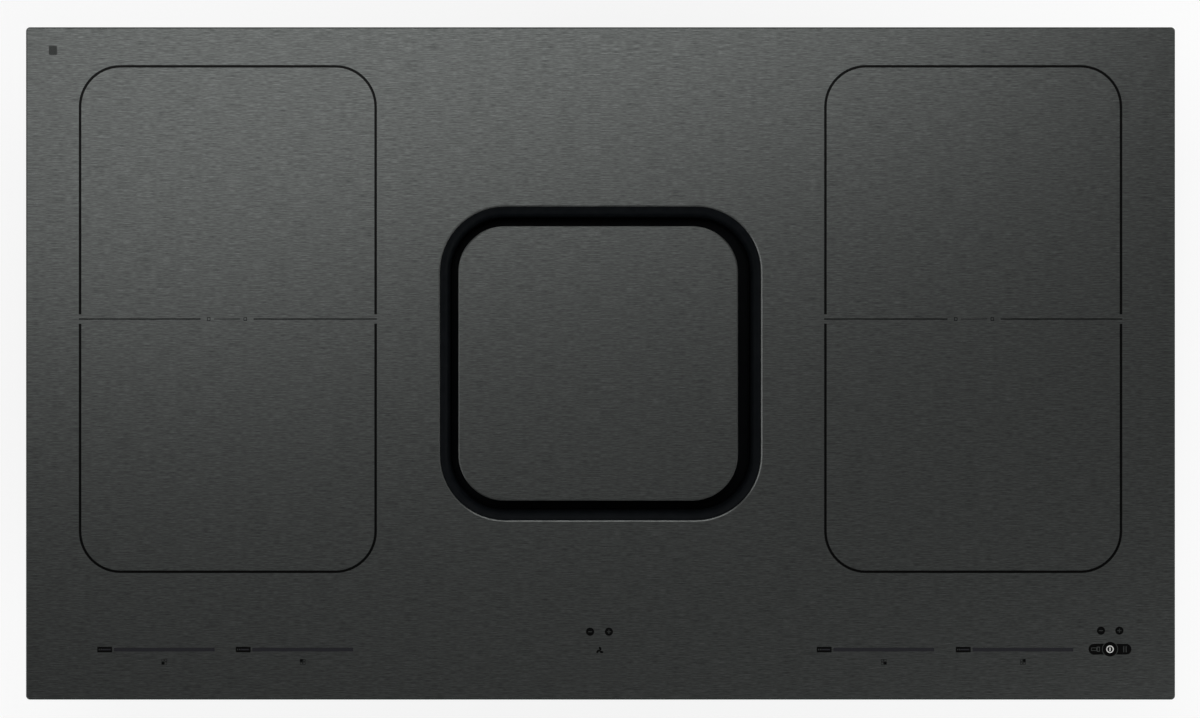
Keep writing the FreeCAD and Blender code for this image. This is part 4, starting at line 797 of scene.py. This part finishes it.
def zone_centre_line(side):
    """Fine line between the two zones of a pair, with a symbol of two linked squares in it."""
    parts = []
    for start, end in ((ZONE_X - ZONE_HALF_X, LINK_X - LINK_HALF - LINK_GAP),
                       (LINK_X + LINK_HALF + LINK_GAP, ZONE_X + ZONE_HALF_X)):
        left, right = sorted((side * start, side * end))
        parts.append(bar(left, right, MIDDLE_Y - HAIRLINE_HALF, MIDDLE_Y + HAIRLINE_HALF))
    for step in (-1, 1):
        x = side * LINK_X + step * (LINK_HALF - LINK_SQUARE)
        parts.append(box_line(x - LINK_SQUARE, x + LINK_SQUARE, MIDDLE_Y - LINK_SQUARE,
                              MIDDLE_Y + LINK_SQUARE, LINK_STROKE))
    reach = LINK_HALF - 4 * LINK_SQUARE
    parts.append(bar(side * LINK_X - reach, side * LINK_X + reach,
                     MIDDLE_Y - LINK_STROKE / 2, MIDDLE_Y + LINK_STROKE / 2))
    return join(parts)


for side_name, side in SIDES:
    finish_piece(zone_outline(side), "zone_outline_" + side_name, "root", BLACK_INK)
    finish_piece(zone_centre_line(side), "zone_centre_line_" + side_name, "root", BLACK_INK)


# ---------------------------------------------------------------- sliders

SLIDER_X = (-334.0 * MM, -228.0 * MM, 216.9 * MM, 323.4 * MM)
SLIDER_Y = -219.1 * MM
TRACK_HALF = (38.6 * MM, 1.45 * MM)
TRACK_CORNER = 0.5 * MM
END_BOX_SHIFT = -45.65 * MM                # from the slider's middle to its end box's
END_BOX_HALF = (5.7 * MM, 2.15 * MM)
END_BOX_CORNER = 0.4 * MM
END_BOX_FIELD = (-1.9 * MM, 4.6 * MM)      # the dim field's ends, from the box's middle
END_BOX_TICKS = (-4.2 * MM, -2.67 * MM)    # middles of the two ticks
END_BOX_INNER = 0.5 * MM                   # half height of the field and the ticks
TICK_HALF = 0.35 * MM
GRID_Y = -228.5 * MM                       # symbol of four cells, one of them dark
GRID_HALF = 2.2 * MM
GRID_DARK = ((-1, -1), (-1, 1), (1, -1), (1, 1))     # which zone each slider belongs to
CELL_GAP = 0.12 * MM
CELL_STROKE = 0.3 * MM


def zone_symbol(x, dark_cell):
    """The printed parts of a slider's symbol: four cells, and the dark one is its own zone's."""
    cells = []
    for step_x in (-1, 1):
        for step_y in (-1, 1):
            dark = (step_x, step_y) == dark_cell
            cell_x, cell_y = x + step_x * GRID_HALF / 2, GRID_Y + step_y * GRID_HALF / 2
            half = GRID_HALF / 2 - (0 if dark else CELL_GAP)
            edges = (cell_x - half, cell_x + half, cell_y - half, cell_y + half)
            cells.append(bar(*edges) if dark else box_line(*edges, CELL_STROKE))
    return cells


def slider(number, x, dark_cell):
    """Touch slider: a soft dark bar, a black end box with a dim field in it, and its zone symbol."""
    half_x, half_y = TRACK_HALF
    track = bar(x - half_x, x + half_x, SLIDER_Y - half_y, SLIDER_Y + half_y, TRACK_CORNER)
    finish_piece(track, "slider_track_%d" % number, "root", SOFT_INK)
    middle = x + END_BOX_SHIFT
    half_x, half_y = END_BOX_HALF
    box = bar(middle - half_x, middle + half_x, SLIDER_Y - half_y, SLIDER_Y + half_y, END_BOX_CORNER)
    low, high = SLIDER_Y - END_BOX_INNER, SLIDER_Y + END_BOX_INNER
    field = bar(middle + END_BOX_FIELD[0], middle + END_BOX_FIELD[1], low, high, level=OVERPRINT)
    ticks = [bar(middle + shift - TICK_HALF, middle + shift + TICK_HALF, low, high, level=OVERPRINT)
             for shift in END_BOX_TICKS]
    finish_piece(join([box, *zone_symbol(x, dark_cell)]), "slider_box_and_zone_symbol_%d" % number,
                 "root", BLACK_INK)
    finish_piece(field, "slider_box_field_%d" % number, "root", SOFT_INK)
    finish_piece(join(ticks), "slider_box_ticks_%d" % number, "root", DIM_INK)


for number, (slider_x, dark_cell) in enumerate(zip(SLIDER_X, GRID_DARK), 1):
    slider(number, slider_x, dark_cell)


# ---------------------------------------------------------------- keys

KEY_RADIUS = 3.15 * MM
SIGN_HALF = 1.5 * MM
SIGN_HALF_STROKE = 0.25 * MM
CENTRE_KEYS = ((-8.0 * MM, "minus"), (6.4 * MM, "plus"))
CENTRE_KEYS_Y = -205.4 * MM
RIGHT_KEYS = ((383.2 * MM, "minus"), (397.3 * MM, "plus"))
RIGHT_KEYS_Y = -204.6 * MM

FAN_SYMBOL = (-0.55 * MM, -219.9 * MM)
FAN_HUB = 0.6 * MM
FAN_BLADES = 3
BLADE_RADIUS = 1.43 * MM
BLADE_STRETCH = (0.62, 1.05, 1.0)
BLADE_LEAN = math.radians(-22)
BLADE_SHIFT = (0.26 * MM, 1.612 * MM, 0)   # from the hub's middle to the first blade's


def key_sign(x, y, sign):
    """The bars of a minus or a plus."""
    bars = [bar(x - SIGN_HALF, x + SIGN_HALF, y - SIGN_HALF_STROKE, y + SIGN_HALF_STROKE,
                level=OVERPRINT)]
    if sign == "plus":
        bars.append(bar(x - SIGN_HALF_STROKE, x + SIGN_HALF_STROKE, y - SIGN_HALF, y + SIGN_HALF,
                        level=OVERPRINT))
    return bars


def fan_symbol(x, y):
    """Three blades that curl one way round a small hub."""
    hub_middle = (x, y, PRINT_BASE)
    blades = []
    for step in range(FAN_BLADES):
        blade = disc(x, y, BLADE_RADIUS, PRINT_BASE, corners=24)
        edit(blade)
        bpy.ops.transform.resize(value=BLADE_STRETCH, center_override=hub_middle)
        bpy.ops.transform.rotate(value=BLADE_LEAN, orient_axis="Z", center_override=hub_middle)
        bpy.ops.transform.translate(value=BLADE_SHIFT)
        bpy.ops.transform.rotate(value=math.tau * step / FAN_BLADES, orient_axis="Z",
                                 center_override=hub_middle)
        thicken(INK)
        blades.append(blade)
    return join([*blades, spot(x, y, FAN_HUB, corners=20)])


def keys():
    """Four round black keys with their signs, and the fan symbol."""
    discs, signs = [], []
    for row, y in ((CENTRE_KEYS, CENTRE_KEYS_Y), (RIGHT_KEYS, RIGHT_KEYS_Y)):
        for x, sign in row:
            discs.append(spot(x, y, KEY_RADIUS))
            signs += key_sign(x, y, sign)
    finish_piece(join(discs), "round_keys", "root", BLACK_INK)
    finish_piece(join(signs), "key_signs", "root", DIM_INK)
    finish_piece(fan_symbol(*FAN_SYMBOL), "fan_symbol", "root", BLACK_INK)


keys()


# ---------------------------------------------------------------- main switch

# Places of the signs are shifts from the middle of the pill; a sign's half height comes with them.

PILL = (390.1 * MM, -218.8 * MM)
PILL_HALF = (16.4 * MM, 4.15 * MM)
PILL_CORNER = 0.98 * PILL_HALF[1]
SPOT_RADIUS = 5.6 * MM                     # black spot behind the switch's sign
SPOT_INK = 1.2 * INK
SWITCH_RING = (2.88 * MM, 0.8 * MM)        # radius and stroke
SWITCH_BAR_HALF = (0.44 * MM, 1.3 * MM)
HALO = (SPOT_RADIUS + 0.5 * MM, 0.45 * MM)
PAUSE_SHIFTS = (10.5 * MM, 12.35 * MM)
PAUSE_HALF = (0.32 * MM, 2.3 * MM)
SHACKLE = (-14.4 * MM, -10.1 * MM, 1.25 * MM)
SHACKLE_STROKE = 0.45 * MM
LOCK_BODY = (-10.1 * MM, -7.7 * MM, 1.9 * MM)
LOCK_STROKE = 0.6 * MM


def switch_field():
    """Black pill with a black spot and the main switch's sign in its middle."""
    x, y = PILL
    half_x, half_y = PILL_HALF
    pill = bar(x - half_x, x + half_x, y - half_y, y + half_y, PILL_CORNER)
    finish_piece(join([pill, spot(x, y, SPOT_RADIUS, height=SPOT_INK)]), "switch_field", "root", BLACK_INK)
    bar_x, bar_y = SWITCH_BAR_HALF
    circle = ring(x, y, *SWITCH_RING, TOP_PRINT)
    stroke = bar(x - bar_x, x + bar_x, y - bar_y, y + bar_y, level=TOP_PRINT)
    finish_piece(join([circle, stroke]), "switch_symbol", "root", WHITE_INK)


def switch_side_symbols():
    """Halo round the switch, cut off at the pill's edges, with the pause bars and the padlock."""
    x, y = PILL
    halo = ring(x, y, *HALO, TOP_PRINT)
    edit(halo)
    pick_faces(lambda middle: abs(middle.y - y) > PILL_HALF[1])
    bpy.ops.mesh.delete(type="FACE")
    bpy.ops.object.mode_set(mode="OBJECT")
    bar_x, bar_y = PAUSE_HALF
    signs = [bar(x + shift - bar_x, x + shift + bar_x, y - bar_y, y + bar_y, level=TOP_PRINT)
             for shift in PAUSE_SHIFTS]
    for (left, right, half), stroke in ((SHACKLE, SHACKLE_STROKE), (LOCK_BODY, LOCK_STROKE)):
        signs.append(box_line(x + left, x + right, y - half, y + half, stroke, TOP_PRINT))
    finish_piece(join([halo, *signs]), "switch_side_symbols", "root", DIM_INK)


switch_field()
switch_side_symbols()


# ---------------------------------------------------------------- corner mark

CORNER_MARK = (-422.4 * MM, -416.1 * MM, 236.2 * MM, 243.3 * MM)
CORNER_MARK_RADIUS = 0.8 * MM

finish_piece(bar(*CORNER_MARK, CORNER_MARK_RADIUS), "corner_mark", "root", DIM_INK)


# ---------------------------------------------------------------- floor, light and camera

FLOOR_REACH = 30.0
FLOOR_GLOW = 0.78                          # share of white that the camera and reflections see in it
CAMERA_HEIGHT = 2.6                        # above the glass, for a long lens and little perspective
CAMERA_FAR = 100.0
SENSOR_WIDTH = 36.0                        # millimetres, as the lens is
PHOTO_WIDTH = 1200
PHOTO_SCALE = 1.306                        # pixels of the photograph in one millimetre of glass
AIM_SHIFT = Vector((-0.4 * MM, 3.4 * MM, 0))         # from the glass's middle to the picture's
SOFTBOXES = (                              # name, centre, aim, width, height and radiance
    ("overhead_back_softbox", (-0.21, 0.75, 2.4), (0, 0, 0.2), 1.788, 1.052, 3.0),
    ("overhead_front_softbox", (0.70, -1.26, 2.0), (0, 0, 0.2), 2.0, 1.195, 1.21),
    ("left_strip", (-4.0, 0.0, 0.75), (0, 0, 0.2), 5.0, 1.0, 3.0),
    ("back_strip", (0.0, 4.0, 0.75), (0, 0, 0.2), 5.0, 1.0, 3.0),
    ("right_key", (2.9, -0.9, 1.6), (0, 0, 0.1), 1.6, 1.2, 4.0),
)


def pale_floor():
    """Pale studio floor that reads as the white backdrop and still keeps the object's shadow."""
    floor = plane(-FLOOR_REACH, FLOOR_REACH, -FLOOR_REACH, FLOOR_REACH, 0.0)
    floor.name = "studio_floor"
    material = bpy.data.materials.new("white_studio_floor")
    material.use_nodes = True
    tree = material.node_tree
    tree.nodes.clear()
    where = add(tree, "ShaderNodeTexCoord").outputs["Object"]
    paper = add(tree, "ShaderNodeTexNoise", {"Vector": where, "Scale": 1.0 / (400 * MM)})
    tone = add(tree, "ShaderNodeValToRGB", {"Fac": paper}, stops=[(0.3, "#f0f0f0"), (0.7, "#f4f4f4")])
    dull = add(tree, "ShaderNodeBsdfDiffuse", {"Color": tone})
    glow = add(tree, "ShaderNodeEmission", {"Color": (1, 1, 1, 1), "Strength": 1.0})
    ray = add(tree, "ShaderNodeLightPath").outputs
    seen = add(tree, "ShaderNodeMath", {0: ray["Is Camera Ray"], 1: ray["Is Glossy Ray"]},
               {"operation": "MAXIMUM"})
    seen = add(tree, "ShaderNodeMath", {0: seen, 1: ray["Is Transmission Ray"]}, {"operation": "MAXIMUM"})
    share = add(tree, "ShaderNodeMath", {0: seen, 1: FLOOR_GLOW}, {"operation": "MULTIPLY"})
    both = add(tree, "ShaderNodeMixShader", {0: share, 1: dull, 2: glow})
    add(tree, "ShaderNodeOutputMaterial", {"Surface": both})
    floor.data.materials.append(material)


def studio_world():
    """Pale walls all round and a darker ceiling."""
    world = bpy.data.worlds.new("studio")
    bpy.context.scene.world = world
    world.use_nodes = True
    tree = world.node_tree
    tree.nodes.clear()
    where = add(tree, "ShaderNodeTexCoord").outputs["Generated"]
    split = add(tree, "ShaderNodeSeparateXYZ", {"Vector": where})
    tone = add(tree, "ShaderNodeValToRGB", {"Fac": split.outputs["Z"]},
               stops=[(0.0, "#ffffff"), (0.5, "#fafafa"), (0.8, "#7c7c7c"), (1.0, "#787878")])
    light = add(tree, "ShaderNodeBackground", {"Color": tone, "Strength": 1.0})
    add(tree, "ShaderNodeOutputWorld", {"Surface": light})


def softbox(name, centre, aim, width, height, radiance):
    """A rectangular lamp; its power follows from its size and how bright its face is to look."""
    lamp = bpy.data.lights.new(name, "AREA")
    lamp.shape = "RECTANGLE"
    lamp.size = width
    lamp.size_y = height
    lamp.energy = radiance * math.pi * width * height
    made = bpy.data.objects.new(name, lamp)
    bpy.context.scene.collection.objects.link(made)
    made.location = centre
    made.rotation_euler = (Vector(aim) - Vector(centre)).to_track_quat("-Z", "Y").to_euler()
    made.visible_camera = False


def camera():
    """Looks straight down on the glass, with the cook's side at the bottom of the picture."""
    data = bpy.data.cameras.new("overhead_camera")
    data.sensor_width = SENSOR_WIDTH
    view_width = PHOTO_WIDTH / PHOTO_SCALE * MM
    data.lens = SENSOR_WIDTH * CAMERA_HEIGHT / view_width
    data.clip_end = CAMERA_FAR
    made = bpy.data.objects.new("overhead_camera", data)
    bpy.context.scene.collection.objects.link(made)
    made.location = Vector((0, GLASS_CENTRE_Y, SURFACE + CAMERA_HEIGHT)) + AIM_SHIFT
    bpy.context.scene.camera = made


pale_floor()
studio_world()
for settings in SOFTBOXES:
    softbox(*settings)
camera()
bpy.context.scene.view_settings.view_transform = "Standard"
